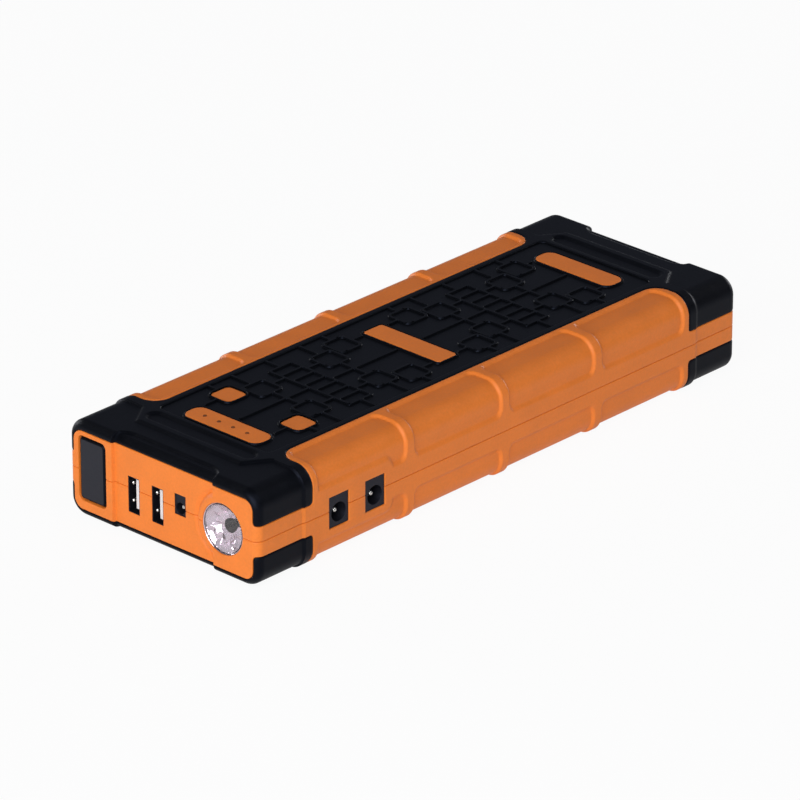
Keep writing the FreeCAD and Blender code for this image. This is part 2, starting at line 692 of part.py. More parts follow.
def lower_bosses():
    floor = WALL - BOSS_FOOTING
    base = SCREW_HEAD_DIAMETER + 2 * BOSS_BASE_WALL
    base_top = SCREW_HEAD_Z + SCREW_HEAD_HEIGHT + BOSS_FLOOR
    pieces = [rod_z(x, y, floor, SEAM_Z, BOSS_DIAMETER) for x, y in CASE_SCREWS]
    pieces += [rod_z(x, y, floor, base_top, base) for x, y in CASE_SCREWS]
    pieces += [socket_rib(INSIDE_FRONT + d, floor, COVER_Z - SOCKET_HEIGHT / 2)
               for d in SOCKET_RIBS_FROM_WALL]
    half = LAMP_BOARD_SIDE / 2
    lamp_rib = box(LAMP_X - half, LAMP_X + half, LAMP_BOARD_BACK, LAMP_BOARD_BACK + LAMP_RIB_THICK,
                   floor, SEAM_Z)
    return pieces + [lamp_rib]


def screw_holes(upper):
    holes = [rod_z(x, y, 0, SCREW_TIP + PILOT_DEPTH, SCREW_DIAMETER + SCREW_GAP) for x, y in CASE_SCREWS]
    if upper:
        tip = BOARD_BOTTOM + BOARD_SCREW_LENGTH + PILOT_DEPTH
        holes += [rod_z(x, y, BOARD_TOP - 1, tip, BOARD_SCREW_DIAMETER + SCREW_GAP)
                  for x, y in BOARD_SCREWS]
    else:
        wide = SCREW_HEAD_DIAMETER + 4 * SCREW_GAP
        holes += [rod_z(x, y, -1, SCREW_HEAD_Z + SCREW_HEAD_HEIGHT, wide) for x, y in CASE_SCREWS]
    return holes


def button_holes():
    half = BUTTON / 2 + BUTTON_GAP
    return [prism_z(x - half, x + half, y - half, y + half, CEILING - 1, HEIGHT + 1,
                    BUTTON_RADIUS + BUTTON_GAP) for x, y in button_centres().values()]


def light_holes():
    return [rod_z(x, light_y(), CEILING - 1, HEIGHT + 1, LIGHT_DIAMETER + 2 * SCREW_GAP)
            for x in light_xs()]


def case_halves_and_skins():
    outer = body(0.0)
    inner = body(SKIN)
    upper_room = box(-FAR, FAR, -FAR, FAR, SEAM_Z, FAR)
    lower_room = box(-FAR, FAR, -FAR, FAR, -FAR, SEAM_Z)
    upper_blank = skin_blank(outer, inner, True).cut(lands(0, FAR))
    lower_blank = skin_blank(outer, inner, False)

    upper_skin = upper_blank.cut([deck_pocket()] + slot_pockets() + button_holes())
    bottom_panel = prism_z(-PANEL_HALF_WIDTH, PANEL_HALF_WIDTH, -PANEL_END, PANEL_END,
                           -1, RELIEF_DEPTH, PANEL_RADIUS)
    lower_skin = lower_blank.cut([bottom_panel] + screw_holes(False))

    upper_case = outer.common(upper_room).cut([upper_blank, cavity()] + side_panels(outer, True))
    upper_case = join([upper_case] + upper_bosses())
    upper_case = upper_case.cut(port_cuts() + screw_holes(True) + button_holes() + light_holes())

    lower_case = outer.common(lower_room).cut([lower_blank, cavity()] + side_panels(outer, False))
    lower_case = join([lower_case] + lower_bosses())
    lower_case = lower_case.cut(port_cuts() + screw_holes(False))
    return upper_case, lower_case, upper_skin, lower_skin


def button(x, y):
    half = BUTTON / 2
    wide = half + BUTTON_FLANGE
    low = CEILING - BUTTON_FLANGE_THICK
    cap = prism_z(x - half, x + half, y - half, y + half, low, HEIGHT, BUTTON_RADIUS)
    flange = prism_z(x - wide, x + wide, y - wide, y + wide, low, CEILING, BUTTON_RADIUS)
    stem = rod_z(x, y, PLUNGER_TOP, low, BUTTON_STEM_DIAMETER)
    return join([cap, flange, stem])


def switch(x, y):
    half = SWITCH_SIDE / 2
    case = box(x - half, x + half, y - half, y + half, BOARD_TOP, SWITCH_TOP)
    floor = SWITCH_TOP - PLUNGER_DEPTH - BUTTON_TRAVEL - PLUNGER_GAP
    return case.cut(rod_z(x, y, floor, SWITCH_TOP + 1, PLUNGER_DIAMETER + 2 * PLUNGER_GAP))


def plunger(x, y):
    return rod_z(x, y, SWITCH_TOP - PLUNGER_DEPTH, PLUNGER_TOP, PLUNGER_DIAMETER)


def usb_shell(x):
    """Sheet metal sleeve with one leg up to the circuit board."""
    in_x = USB_WIDTH / 2
    in_z = USB_HEIGHT / 2
    out_x = in_x + USB_SHELL
    out_z = in_z + USB_SHELL
    tube = prism_y(x - out_x, x + out_x, INSIDE_FRONT, USB_BACK, USB_Z - out_z, USB_Z + out_z,
                   USB_CORNER + USB_SHELL)
    hole = prism_y(x - in_x, x + in_x, INSIDE_FRONT - 1, USB_BACK + 1, USB_Z - in_z, USB_Z + in_z,
                   USB_CORNER)
    leg = box(x - in_x + USB_CORNER, x + in_x - USB_CORNER, USB_BACK - USB_BLOCK,
              USB_BACK - USB_BLOCK + USB_SHELL, USB_Z + in_z, BOARD_BOTTOM)
    return join([tube.cut(hole), leg])


def tongue_left(x):
    """The face of the tongue that carries the contacts."""
    return x + USB_WIDTH / 2 - TONGUE_SIDE_GAP - TONGUE_THICK


def usb_tongue(x):
    """Insulator: a block at the back with the tongue along the +X side of the opening."""
    half = USB_HEIGHT / 2 - TONGUE_END_GAP
    block = box(x - USB_WIDTH / 2, x + USB_WIDTH / 2, USB_BACK - USB_BLOCK, USB_BACK,
                USB_Z - half, USB_Z + half)
    tongue = box(tongue_left(x), tongue_left(x) + TONGUE_THICK, FRONT + RECESS_DEPTH + TONGUE_SETBACK,
                 USB_BACK - USB_BLOCK, USB_Z - half, USB_Z + half)
    return join([block, tongue])


def usb_contacts(x):
    start = FRONT + RECESS_DEPTH + TONGUE_SETBACK + CONTACT_SETBACK
    pads = []
    for k in range(CONTACT_COUNT):
        z = USB_Z + (k - (CONTACT_COUNT - 1) / 2) * CONTACT_PITCH - CONTACT_WIDTH / 2
        pads.append(box(tongue_left(x) - CONTACT_THICK, tongue_left(x), start, USB_BACK - USB_BLOCK,
                        z, z + CONTACT_WIDTH))
    return pads


def charge_socket():
    left = CHARGE_X - CHARGE_WIDTH / 2
    back = SOCKET_FACE + CHARGE_DEPTH
    block = box(left, left + CHARGE_WIDTH, SOCKET_FACE, back, BOARD_BOTTOM - CHARGE_HEIGHT, BOARD_BOTTOM)
    return block.cut(rod_y(CHARGE_X, CHARGE_HOLE_Z, SOCKET_FACE - 1, back - HOLE_FLOOR, CHARGE_HOLE))


def charge_pin():
    return rod_y(CHARGE_X, CHARGE_HOLE_Z, SOCKET_FACE + PIN_SETBACK,
                 SOCKET_FACE + CHARGE_DEPTH - HOLE_FLOOR, CHARGE_PIN)


def outlet(y):
    half = OUTLET_WIDTH / 2
    back = OUTLET_FACE - OUTLET_DEPTH
    block = box(back, OUTLET_FACE, y - half, y + half, BOARD_BOTTOM - OUTLET_HEIGHT, BOARD_BOTTOM)
    return block.cut(rod_x(y, OUTLET_HOLE_Z, back + HOLE_FLOOR, OUTLET_FACE + 1, OUTLET_HOLE))


def outlet_pin(y):
    return rod_x(y, OUTLET_HOLE_Z, OUTLET_FACE - OUTLET_DEPTH + HOLE_FLOOR, OUTLET_FACE - PIN_SETBACK,
                 OUTLET_PIN)


def lens():
    boss = rod_y(LAMP_X, SEAM_Z, FRONT + LENS_SETBACK, LENS_FRONT, LAMP_HOLE_DIAMETER - 2 * LAMP_HOLE_GAP)
    disc = rod_y(LAMP_X, SEAM_Z, LENS_FRONT, REFLECTOR_FRONT, LENS_DIAMETER)
    return join([boss, disc])


def reflector():
    """Cup on a parabola from the lens back to the lamp board, with a flat rim behind the lens."""
    rim = LENS_DIAMETER / 2
    mouth = rim - REFLECTOR_RIM - REFLECTOR_WALL / 2
    base = REFLECTOR_BASE_DIAMETER / 2
    steps = 6
    inner = []
    for k in range(steps + 1):
        r = base + (mouth - base) * k / steps
        share = (r * r - base * base) / (mouth * mouth - base * base)
        inner.append(Vector(r, REFLECTOR_FRONT + REFLECTOR_DEPTH * (1 - share), 0))
    outer = [Vector(p.x + REFLECTOR_WALL, p.y, 0) for p in reversed(inner)]
    flange = [Vector(rim, REFLECTOR_FRONT, 0), Vector(rim, REFLECTOR_FRONT + REFLECTOR_WALL, 0),
              Vector(mouth + REFLECTOR_WALL, REFLECTOR_FRONT + REFLECTOR_WALL, 0)]
    profile = inner + flange + outer[1:]
    cup = Part.Face(Part.makePolygon(profile + profile[:1])).revolve(Vector(), Vector(0, 1, 0), 360)
    return moved(cup, LAMP_X, 0, SEAM_Z)


def lamp_board():
    half = LAMP_BOARD_SIDE / 2
    return box(LAMP_X - half, LAMP_X + half, LAMP_BOARD_FRONT, LAMP_BOARD_BACK,
               SEAM_Z - half, SEAM_Z + half)


def lamp_emitter():
    half = EMITTER_SIDE / 2
    front = LAMP_BOARD_FRONT - EMITTER_THICK
    base = box(LAMP_X - half, LAMP_X + half, front, LAMP_BOARD_FRONT, SEAM_Z - half, SEAM_Z + half)
    dome = Part.makeSphere(EMITTER_DOME / 2, Vector(LAMP_X, front, SEAM_Z))
    behind = box(LAMP_X - half, LAMP_X + half, front + EMITTER_THICK / 2, LAMP_BOARD_BACK,
                 SEAM_Z - half, SEAM_Z + half)
    return join([base, dome.cut(behind)])


def cover_prism(inset, y0, y1, radius):
    half_x = COVER_WIDTH / 2 - inset
    half_z = COVER_HEIGHT / 2 - inset
    return prism_y(COVER_X - half_x, COVER_X + half_x, y0, y1, COVER_Z - half_z, COVER_Z + half_z, radius)


def cover():
    """Plate that fills the opening, with a hollow plug rim behind it."""
    back = FRONT + COVER_THICK
    corner = COVER_RADIUS - COVER_GAP
    plate = cover_prism(COVER_GAP, FRONT, back, corner)
    plug = cover_prism(COVER_GAP + COVER_PLUG_INSET, back, back + COVER_PLUG_DEPTH, corner)
    hollow = cover_prism(COVER_GAP + COVER_PLUG_INSET + COVER_LIP, back, back + COVER_PLUG_DEPTH + 1,
                         corner / 2)
    return join([plate, plug.cut(hollow)])


def tether():
    """Strap end of the cover, held against the side of the opening beside the hinge line."""
    left = COVER_X - COVER_WIDTH / 2
    front = FRONT + COVER_THICK
    return box(left, left + TETHER_THICK, front, front + TETHER_LENGTH,
               COVER_Z - TETHER_HEIGHT / 2, COVER_Z + TETHER_HEIGHT / 2)


def jump_socket():
    half_x = SOCKET_WIDTH / 2
    half_z = SOCKET_HEIGHT / 2
    back = SOCKET_FRONT + SOCKET_DEPTH
    block = prism_y(COVER_X - half_x, COVER_X + half_x, SOCKET_FRONT, back, COVER_Z - half_z,
                    COVER_Z + half_z, SOCKET_RADIUS)
    return block.cut([rod_y(COVER_X, z, SOCKET_FRONT - 1, back + 1, CONTACT_HOLE)
                      for z in CONTACT_Z.values()])


def jump_contact(z):
    front = SOCKET_FRONT + SOCKET_RADIUS
    tube = rod_y(COVER_X, z, front, CONTACT_BACK, CONTACT_TUBE)
    collar = rod_y(COVER_X, z, CONTACT_BACK - CONTACT_COLLAR[0], CONTACT_BACK - CONTACT_COLLAR[1],
                   CONTACT_HOLE)
    return join([tube, collar]).cut(rod_y(COVER_X, z, front - 1, CONTACT_BACK - CONTACT_FLOOR, CONTACT_BORE))


def main_board():
    board = box(BOARD_LEFT, BOARD_RIGHT, BOARD_FRONT, BOARD_REAR, BOARD_BOTTOM, BOARD_TOP)
    notch = box(LAMP_NOTCH_X, FAR, -FAR, LAMP_NOTCH_Y, 0, FAR)
    holes = [rod_z(x, y, 0, FAR, BOARD_SCREW_DIAMETER + 2 * SCREW_GAP) for x, y in BOARD_SCREWS]
    bosses = [rod_z(x, y, 0, FAR, BOSS_DIAMETER + 1) for x, y in CASE_SCREWS]
    return board.cut([notch] + holes + bosses)


def light_pipe():
    """Four clear rods on one bar that carry the light up to the deck."""
    bottom = BOARD_TOP + LED_CHIP_HEIGHT + LIGHT_PIPE_GAP
    xs = light_xs()
    half = LIGHT_BAR_WIDTH / 2
    bar = box(xs[0] - half, xs[-1] + half, light_y() - half, light_y() + half,
              CEILING - LIGHT_BAR_THICK, CEILING)
    return join([bar] + [rod_z(x, light_y(), bottom, HEIGHT, LIGHT_DIAMETER) for x in xs])


def indicator_chips():
    half = LED_CHIP / 2
    return [box(x - half, x + half, light_y() - half, light_y() + half, BOARD_TOP,
                BOARD_TOP + LED_CHIP_HEIGHT) for x in light_xs()]


def inductor():
    half = INDUCTOR_SIDE / 2
    return prism_z(INDUCTOR_X - half, INDUCTOR_X + half, PARTS_Y - half, PARTS_Y + half,
                   BOARD_BOTTOM - INDUCTOR_HEIGHT, BOARD_BOTTOM, INDUCTOR_RADIUS)


def capacitors():
    return [rod_z(x, PARTS_Y, BOARD_BOTTOM - CAPACITOR_HEIGHT, BOARD_BOTTOM, CAPACITOR_DIAMETER)
            for x in CAPACITOR_X]


def controller_chip():
    long, wide, thick = CHIP_SIZE
    y = FRONT + CHIP_FROM_END
    return box(CHIP_X - long / 2, CHIP_X + long / 2, y - wide / 2, y + wide / 2,
               BOARD_BOTTOM - thick, BOARD_BOTTOM)


def pad(z0, z1):
    half = CELL_WIDTH / 2
    return prism_z(-half, half, CELL_FRONT, CELL_REAR, z0, z1, CELL_RADIUS)


def cell_middle(k):
    return STACK_BOTTOM + k * CELL_PITCH + CELL_THICK / 2


def cell(k):
    half = CELL_WIDTH / 2
    z = cell_middle(k)
    return prism_y(-half, half, CELL_FRONT, CELL_REAR, z - CELL_THICK / 2, z + CELL_THICK / 2, CELL_RADIUS)


def strip(x0, x1, y0, y1, z):
    return box(x0, x1, y0, y1, z - TAB_THICK / 2, z + TAB_THICK / 2)


def terminal(k, board_z):
    """Copper strip on a cell's front end for an outgoing lead, with an arm to the circuit board."""
    z = cell_middle(k)
    left = STRAP_X - STRAP_WIDTH / 2
    right = STRAP_X + STRAP_WIDTH / 2
    end = TERMINAL_FRONT - STRAP_LENGTH
    tab = strip(TERMINAL_X - TAB_WIDTH / 2, TERMINAL_X + TAB_WIDTH / 2, TERMINAL_FRONT, CELL_FRONT, z)
    bar = strip(TERMINAL_X, right, TERMINAL_FRONT, TERMINAL_FRONT + STRAP_WIDTH - 1, z)
    arm = strip(left, right, end, TERMINAL_FRONT + 1, z)
    leg = box(left, right, end, end + TAB_THICK, min(z, board_z), max(z, board_z))
    return join([tab, bar, arm, leg])


def link(x, k):
    """Copper strap that joins one cell to the next above it."""
    x0 = x - TAB_WIDTH / 2
    x1 = x + TAB_WIDTH / 2
    low = cell_middle(k)
    high = cell_middle(k + 1)
    feet = [strip(x0, x1, TERMINAL_FRONT, CELL_FRONT, z) for z in (low, high)]
    web = box(x0, x1, TERMINAL_FRONT - TAB_THICK, TERMINAL_FRONT, low - TAB_THICK / 2, high + TAB_THICK / 2)
    return join([web] + feet)


def lead(points):
    """Round cable along straight runs with tangent arcs, and its bend radii."""
    knots = [Vector(*p) for p in points]
    edges = []
    radii = []
    start = knots[0]
    for a, b, c in zip(knots, knots[1:], knots[2:]):
        run = min((b - a).Length, (c - b).Length) * 0.45
        u = (a - b).normalize()
        v = (c - b).normalize()
        turn = math.pi - u.getAngle(v)
        radius = run / math.tan(turn / 2)
        first = b + u * run
        last = b + v * run
        centre = b + (u + v).normalize() * (radius / math.cos(turn / 2))
        middle = centre + (b - centre).normalize() * radius
        edges.append(Part.LineSegment(start, first).toShape())
        edges.append(Part.Arc(first, middle, last).toShape())
        radii.append(round(radius, 1))
        start = last
    edges.append(Part.LineSegment(start, knots[-1]).toShape())
    path = Part.Wire(edges)
    direction = (knots[1] - knots[0]).normalize()
    ring = Part.Wire(Part.makeCircle(LEAD_DIAMETER / 2, knots[0], direction))
    tube = path.makePipeShell([ring], True, True)
    area = math.pi * LEAD_DIAMETER ** 2 / 4
    print("lead", "radii", radii, "volume ratio", round(tube.Volume / (area * path.Length), 4))
    return Part.Solid(tube) if tube.ShapeType != "Solid" else tube


def lead_route(k, contact_z):
    """Points from a cell's terminal to the back of a contact in the jump socket."""
    z = cell_middle(k)
    middle = ((TERMINAL_X + COVER_X) / 2, (TERMINAL_FRONT + CONTACT_BACK) / 2,
              (z + contact_z) / 2 + LEAD_RISE)
    return [
        (TERMINAL_X, TERMINAL_FRONT, z), (TERMINAL_X, TERMINAL_FRONT - LEAD_RUN, z), middle,
        (COVER_X, CONTACT_BACK + LEAD_RUN, contact_z), (COVER_X, CONTACT_BACK, contact_z),
    ]


def case_screw(x, y):
    head = rod_z(x, y, SCREW_HEAD_Z, SCREW_HEAD_Z + SCREW_HEAD_HEIGHT, SCREW_HEAD_DIAMETER)
    shank = rod_z(x, y, SCREW_HEAD_Z, SCREW_HEAD_Z + SCREW_LENGTH, SCREW_DIAMETER)
    return join([head, shank])


def board_screw(x, y):
    head = rod_z(x, y, BOARD_BOTTOM - BOARD_SCREW_HEAD_HEIGHT, BOARD_BOTTOM, BOARD_SCREW_HEAD_DIAMETER)
    shank = rod_z(x, y, BOARD_BOTTOM, BOARD_BOTTOM + BOARD_SCREW_LENGTH, BOARD_SCREW_DIAMETER)
    return join([head, shank])


def save_case():
    upper_case, lower_case, upper_skin, lower_skin = case_halves_and_skins()
    save("upper_case", upper_case)
    save("lower_case", lower_case)
    save("upper_skin", upper_skin)
    save("lower_skin", lower_skin)
    save("case_screws", *[case_screw(x, y) for x, y in CASE_SCREWS])


def save_controls():
    for name, (x, y) in button_centres().items():
        save(f"{name}_button", button(x, y))
        save(f"{name}_switch", switch(x, y))
        save(f"{name}_switch_plunger", plunger(x, y))
    save("light_pipe", light_pipe())
    save("indicator_leds", *indicator_chips())


def save_ports():
    for k, x in enumerate(USB_X, 1):
        save(f"usb_shell_{k}", usb_shell(x))
        save(f"usb_tongue_{k}", usb_tongue(x))
        save(f"usb_contacts_{k}", *usb_contacts(x))
    save("charge_socket", charge_socket())
    save("charge_pin", charge_pin())
    for k, y in enumerate(OUTLET_Y, 1):
        save(f"outlet_{k}", outlet(y))
        save(f"outlet_pin_{k}", outlet_pin(y))
    save("socket_cover", cover())
    save("cover_tether", tether())
    save("jump_socket", jump_socket())
    for name, z in CONTACT_Z.items():
        save(f"jump_contact_{name}", jump_contact(z))


def save_lamp():
    save("lamp_lens", lens())
    save("lamp_reflector", reflector())
    save("lamp_board", lamp_board())
    save("lamp_emitter", lamp_emitter())


def save_board():
    save("main_board", main_board())
    save("board_screws", *[board_screw(x, y) for x, y in BOARD_SCREWS])
    save("inductor", inductor())
    save("capacitors", *capacitors())
    save("controller_chip", controller_chip())


def save_battery():
    for k in range(CELL_COUNT):
        save(f"battery_cell_{k + 1}", cell(k))
    for k in range(CELL_COUNT - 1):
        top = cell_middle(k) + CELL_THICK / 2
        save(f"cell_spacer_{k + 1}", pad(top, top + SPACER_THICK))
        save(f"cell_link_{k + 1}", link(LINK_X[k], k))
    save("base_pad", pad(WALL, STACK_BOTTOM))
    save("top_pad", pad(STACK_TOP, CEILING))
    save("terminal_positive", terminal(CELL_COUNT - 1, BOARD_TOP))
    save("terminal_negative", terminal(0, BOARD_BOTTOM))
    save("lead_positive", lead(lead_route(CELL_COUNT - 1, CONTACT_Z["positive"])))
    save("lead_negative", lead(lead_route(0, CONTACT_Z["negative"])))


def main():
    os.makedirs("parts", exist_ok=True)
    save_case()
    save_controls()
    save_ports()
    save_lamp()
    save_board()
    save_battery()


main()
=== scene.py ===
"""Jump starter pack: an orange case in a black grip skin, with ports, keys, lamp and side outlets."""

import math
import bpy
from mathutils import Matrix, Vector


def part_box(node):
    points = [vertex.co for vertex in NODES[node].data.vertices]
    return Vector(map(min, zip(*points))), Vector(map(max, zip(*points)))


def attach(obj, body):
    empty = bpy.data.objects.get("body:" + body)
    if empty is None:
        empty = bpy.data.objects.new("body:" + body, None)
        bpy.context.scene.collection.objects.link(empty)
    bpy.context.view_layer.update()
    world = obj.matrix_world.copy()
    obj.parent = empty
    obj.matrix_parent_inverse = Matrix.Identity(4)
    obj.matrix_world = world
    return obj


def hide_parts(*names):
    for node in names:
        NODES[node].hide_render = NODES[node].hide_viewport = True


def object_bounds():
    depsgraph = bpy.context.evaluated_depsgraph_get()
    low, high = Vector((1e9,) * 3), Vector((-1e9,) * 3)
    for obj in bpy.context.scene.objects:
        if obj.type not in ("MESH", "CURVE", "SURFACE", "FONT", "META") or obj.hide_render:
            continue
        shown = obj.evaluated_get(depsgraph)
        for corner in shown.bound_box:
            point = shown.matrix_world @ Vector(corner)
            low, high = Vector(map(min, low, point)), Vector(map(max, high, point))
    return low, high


bl_info = {
    "name": "Jump starter pack",
    "version": (1, 0, 0),
    "blender": (4, 5, 0),
    "location": "View3D > Sidebar > Starter pack",
    "description": "Finishes the packed model of a jump starter pack and lights it for a product picture",
    "category": "Object",
}

import bpy
import numpy as np
from mathutils import Matrix, Vector

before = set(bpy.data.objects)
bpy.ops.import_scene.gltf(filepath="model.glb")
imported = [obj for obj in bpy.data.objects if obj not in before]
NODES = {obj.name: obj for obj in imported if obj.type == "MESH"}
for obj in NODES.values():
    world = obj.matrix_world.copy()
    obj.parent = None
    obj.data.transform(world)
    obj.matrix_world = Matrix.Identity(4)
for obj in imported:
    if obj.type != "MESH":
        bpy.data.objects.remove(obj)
CAD_LOW, CAD_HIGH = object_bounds()

# Sizes are in millimetres. Blender's own unit is the metre.
# A SLOPE is where a slope starts and ends, as distances from its outline.
# A ROUND is an eased edge: how wide it is and how far it falls.
# LINES are the distances from an outline at which the mesh has lines of its own.
# FAR lies past everything on the pack, and an outline with an open side runs on by RUN_ON.
MM = 0.001
SIDES = (-1, 1)
UP, FORWARD = (0.0, 0.0, 1.0), (0.0, -1.0, 0.0)
FAR = 99.0
RUN_ON = 40.0

# The plain body
HALF_WIDTH = (CAD_HIGH.x - CAD_LOW.x) / 2 / MM
HALF_LENGTH = (CAD_HIGH.y - CAD_LOW.y) / 2 / MM
HEIGHT = (CAD_HIGH.z - CAD_LOW.z) / MM
HALF_HEIGHT = HEIGHT / 2
SEAM_Z = 17.2
SEAM_ROUND = (0.34, 0.45)
LONG_EDGE_RADIUS = 7.0
CORNER_RADIUS = 3.0
END_EDGE_RADIUS = 2.8

# The caps lie lower than the middle, but for the plateau that runs on over them
MIDDLE_END = 92.9
SIDE_STEP, TOP_STEP = 0.5, 0.8
CAP_SLOPE = (-0.1, 0.5)
PLATEAU = ((28.5, 93.2), (23.0, 101.5))
PLATEAU_SLOPE = (-0.5, 0.7)

# The end faces, the recess in their middle and the finger scoop over it
FACE_X = (-39.7, 39.7)
FACE_Z = (3.3, 30.8)
FACE_RADIUS = 3.7
RECESS_HALF, RECESS_DEPTH = 22.3, 1.2
RECESS_SLOPE = (-0.35, 0.25)
END_SLOPE = (-5.0, -1.5)
SCOOP_START, SCOOP_DROP, SCOOP_RADIUS = 107.9, 0.7, 5.0
SCOOP_SLOPE = (-0.7, 0.2)

# Where the orange shows: windows along the sides and a band round the seam, blended at the corners
WINDOW_X, WINDOW_END, WINDOW_RADIUS = 27.2, 89.0, 6.0
BAND_HALF = 5.2
BLEND = 1.5
CASE_LIP_ROUND = (0.4, 0.3)
CASE_LIP_LINES = (0.15, CASE_LIP_ROUND[0])
SKIN_LIP_FALL = 0.5
SKIN_LIP_SHARES = (0.13, 0.39, 0.72, 1)

# The ribbed panels along the sides. ACROSS is measured over the long edge, at 45 degrees to it.
PANEL_COUNT, PANEL_PITCH, PANEL_LIMIT = 4, 44.5, 86.6
RIB_HALF = 1.7
PANEL_SLOPE = (-0.3, 0.9)
PANEL_LINES = (-0.3, 0.0, 0.3, 0.6, 0.9)
PANEL_RADIUS = 2.6
UPPER_ACROSS = (-4.74, 13.93)
LOWER_ACROSS = (20.01, 38.54)
PAD_Y = (-89.0, -53.0)
PAD_Z = (8.25, 26.15)
PAD_RADIUS = 3.0
PAD_SLOPE = (-0.2, 1.0)

# The grip deck and the slot pockets beside it
DECK_HALF_WIDTH, DECK_HALF_LENGTH, DECK_RADIUS = 24.5, 90.4, 2.0
DECK_FLOOR = 34.4
DECK_ROUND = (0.5, 0.4)
DECK_LINES = (0.12, DECK_ROUND[0])
SLOT_X = (-23.6, 23.6)
SLOT_Y = (92.6, 98.4)
SLOT_RADIUS, SLOT_DEPTH = 2.89, 0.8
SLOT_SLOPE = (-0.9, 0.3)

# The orange lands and keys on the deck, and the four lights
PLATE_X = (-17.0, 17.0)
PLATE_Y = (-4.5, 4.5)
PLATE_RADIUS = 0.6
METER_X = (-15.9, 17.5)
METER_Y = (-89.0, -80.2)
BAR_Y = (77.0, 86.0)
LAND_RADIUS, LAND_GAP, LAND_SINK = 3.4, 0.15, 0.05
LAND_ROUND = (0.4, 0.3)
LAND_LINES = (0.06, 0.18, LAND_ROUND[0])
LAND_CELLS = (0.3, 1.0)
LAND_DEPTH = 2.0
KEY_X, KEY_Y = 15.5, -67.8
KEY_HOLE_HALF, KEY_HOLE_RADIUS = 4.8, 2.05
KEY_HALF, KEY_RADIUS, KEY_SINK = 4.45, 1.8, 0.3
LIGHT_COUNT, LIGHT_PITCH = 4, 6.25
LIGHT_Y, LIGHT_RADIUS = -84.6, 0.65

# The raised pattern on the deck: ridges, squares, ladders and the collars round the lands
RIDGE_FLAT, RIDGE_FOOT, RIDGE_CLEAR = 0.42, 0.62, 1.1
COLLAR_FLAT, COLLAR_FOOT = 0.5, 0.7
COLLAR_ROUND = (0.15, 0.15)
COLLAR_LINES = COLLAR_ROUND[:1]
SQUARE_HALF, SQUARE_RADIUS = 4.675, 1.3
INNER_SQUARE = (10.8, 15.55)
OUTER_SQUARE = (KEY_X, 26.1)
LADDER_Y, RAIL_Y = 41.7, 5.0
BAR_PITCH, BAR_COUNT = 5.1, 8
LINE_GAP = 0.4
DECK_CELL, LEAST_CELL = 1.3, 0.18
DECK_OVERLAP, DECK_BORDER, EDGE_STATION = 0.5, 0.3, 0.4

# The openings in the case. Each belongs to the faces that lie at most so far in.
END_ZONE, SIDE_ZONE, UNDER_ZONE = 3.0, 2.0, 3.0
PORT_ROUND = (0.3, 0.2)
PORT_LINES = (0.1, PORT_ROUND[0])
WALL_DEPTH = 1.6
USB_MIDDLES = (-13.9, -3.3)
USB_HALF = 2.5
USB_Z = (8.7, 21.2)
CHARGE_MIDDLE, CHARGE_HALF = 6.8, 2.4
CHARGE_Z = (14.9, 22.0)
OUTLET_MIDDLES = (-77.3, -60.9)
OUTLET_HALF = 4.5
OUTLET_Z = (11.0, 22.0)

# What shows in the ports. A ring of a lining is an inset from the opening and a depth. The deep lining of
# a USB socket is a closed black box, painted shade over the inside of its metal shell.
LINING_RADIUS, LEAST_RADIUS = 0.1, 0.05
ARC_STEP, ARC_COUNT = 18, 6
LINING_LIP = ((-0.1, 1.9), (-0.1, 0.3), (0.0, 0.22))
USB_SHADE_INSET, USB_DEPTH = 0.25, 11.0
USB_RINGS = ((0.18, 0.22), (USB_SHADE_INSET, 0.3), (USB_SHADE_INSET, USB_DEPTH))
CHARGE_RINGS = ((0.2, 0.22), (0.3, 0.4))
BLADE_THICK, BLADE_Z = 1.75, (10.2, 20.7)
BLADE_OFF_WALL, BLADE_RADIUS = 0.55, 0.3
BLADE_RINGS = ((0.0, USB_DEPTH - 1.0), (0.0, 1.2), (0.1, 1.0), (0.25, 0.9))
SPRING_RADIUS, SPRING_RISE, SPRING_BACK, SPRING_FLATNESS = 0.8, 3.1, 2.6, 0.8
SPRING_ANGLES, SPRING_COUNT = (0, 0.4, 0.8, 1.2, 1.5), 12
PIN_ANGLES, PIN_COUNT = (0, 0.4, 0.8, 1.1, 1.35), 24

# The lamp. A place on a profile is a radius and a depth behind the end of the pack.
LAMP_X, LAMP_Z = 26.6, SEAM_Z
LAMP_HOLE_RADIUS = 8.75
LAMP_RING_SLOPE = (10.0, 12.6)
RING_GROOVE_RADIUS = LAMP_RING_SLOPE[1] - 0.5
RING_GROOVE_DEPTH, RING_GROOVE_WIDTH = 0.8, 0.8
LENS_PROFILE = ((0.02, 0.15), (3.0, 0.17), (6.0, 0.25), (7.6, 0.4), (8.1, 0.5), (8.3, 0.7), (8.3, 1.5),
                (8.1, 1.6), (7.9, 1.6), (0.02, 1.6))
RIM_PROFILE = ((8.85, 1.6), (8.85, 0.6), (8.75, 0.4), (8.6, 0.33), (8.45, 0.4), (8.35, 0.6), (8.35, 1.7))
ROUND_COUNT = 64
CUP_MOUTH, CUP_BASE = 8.6, 2.4
CUP_FRONT, CUP_DEPTH = 1.8, 2.4
CUP_RINGS, CUP_FACETS, CUP_TILT = 4, 18, 0.3
NECK_PROFILE = ((CUP_BASE, CUP_FRONT + CUP_DEPTH), (CUP_BASE - 0.1, 3 + CUP_DEPTH), (CUP_BASE - 0.2, 12.2))

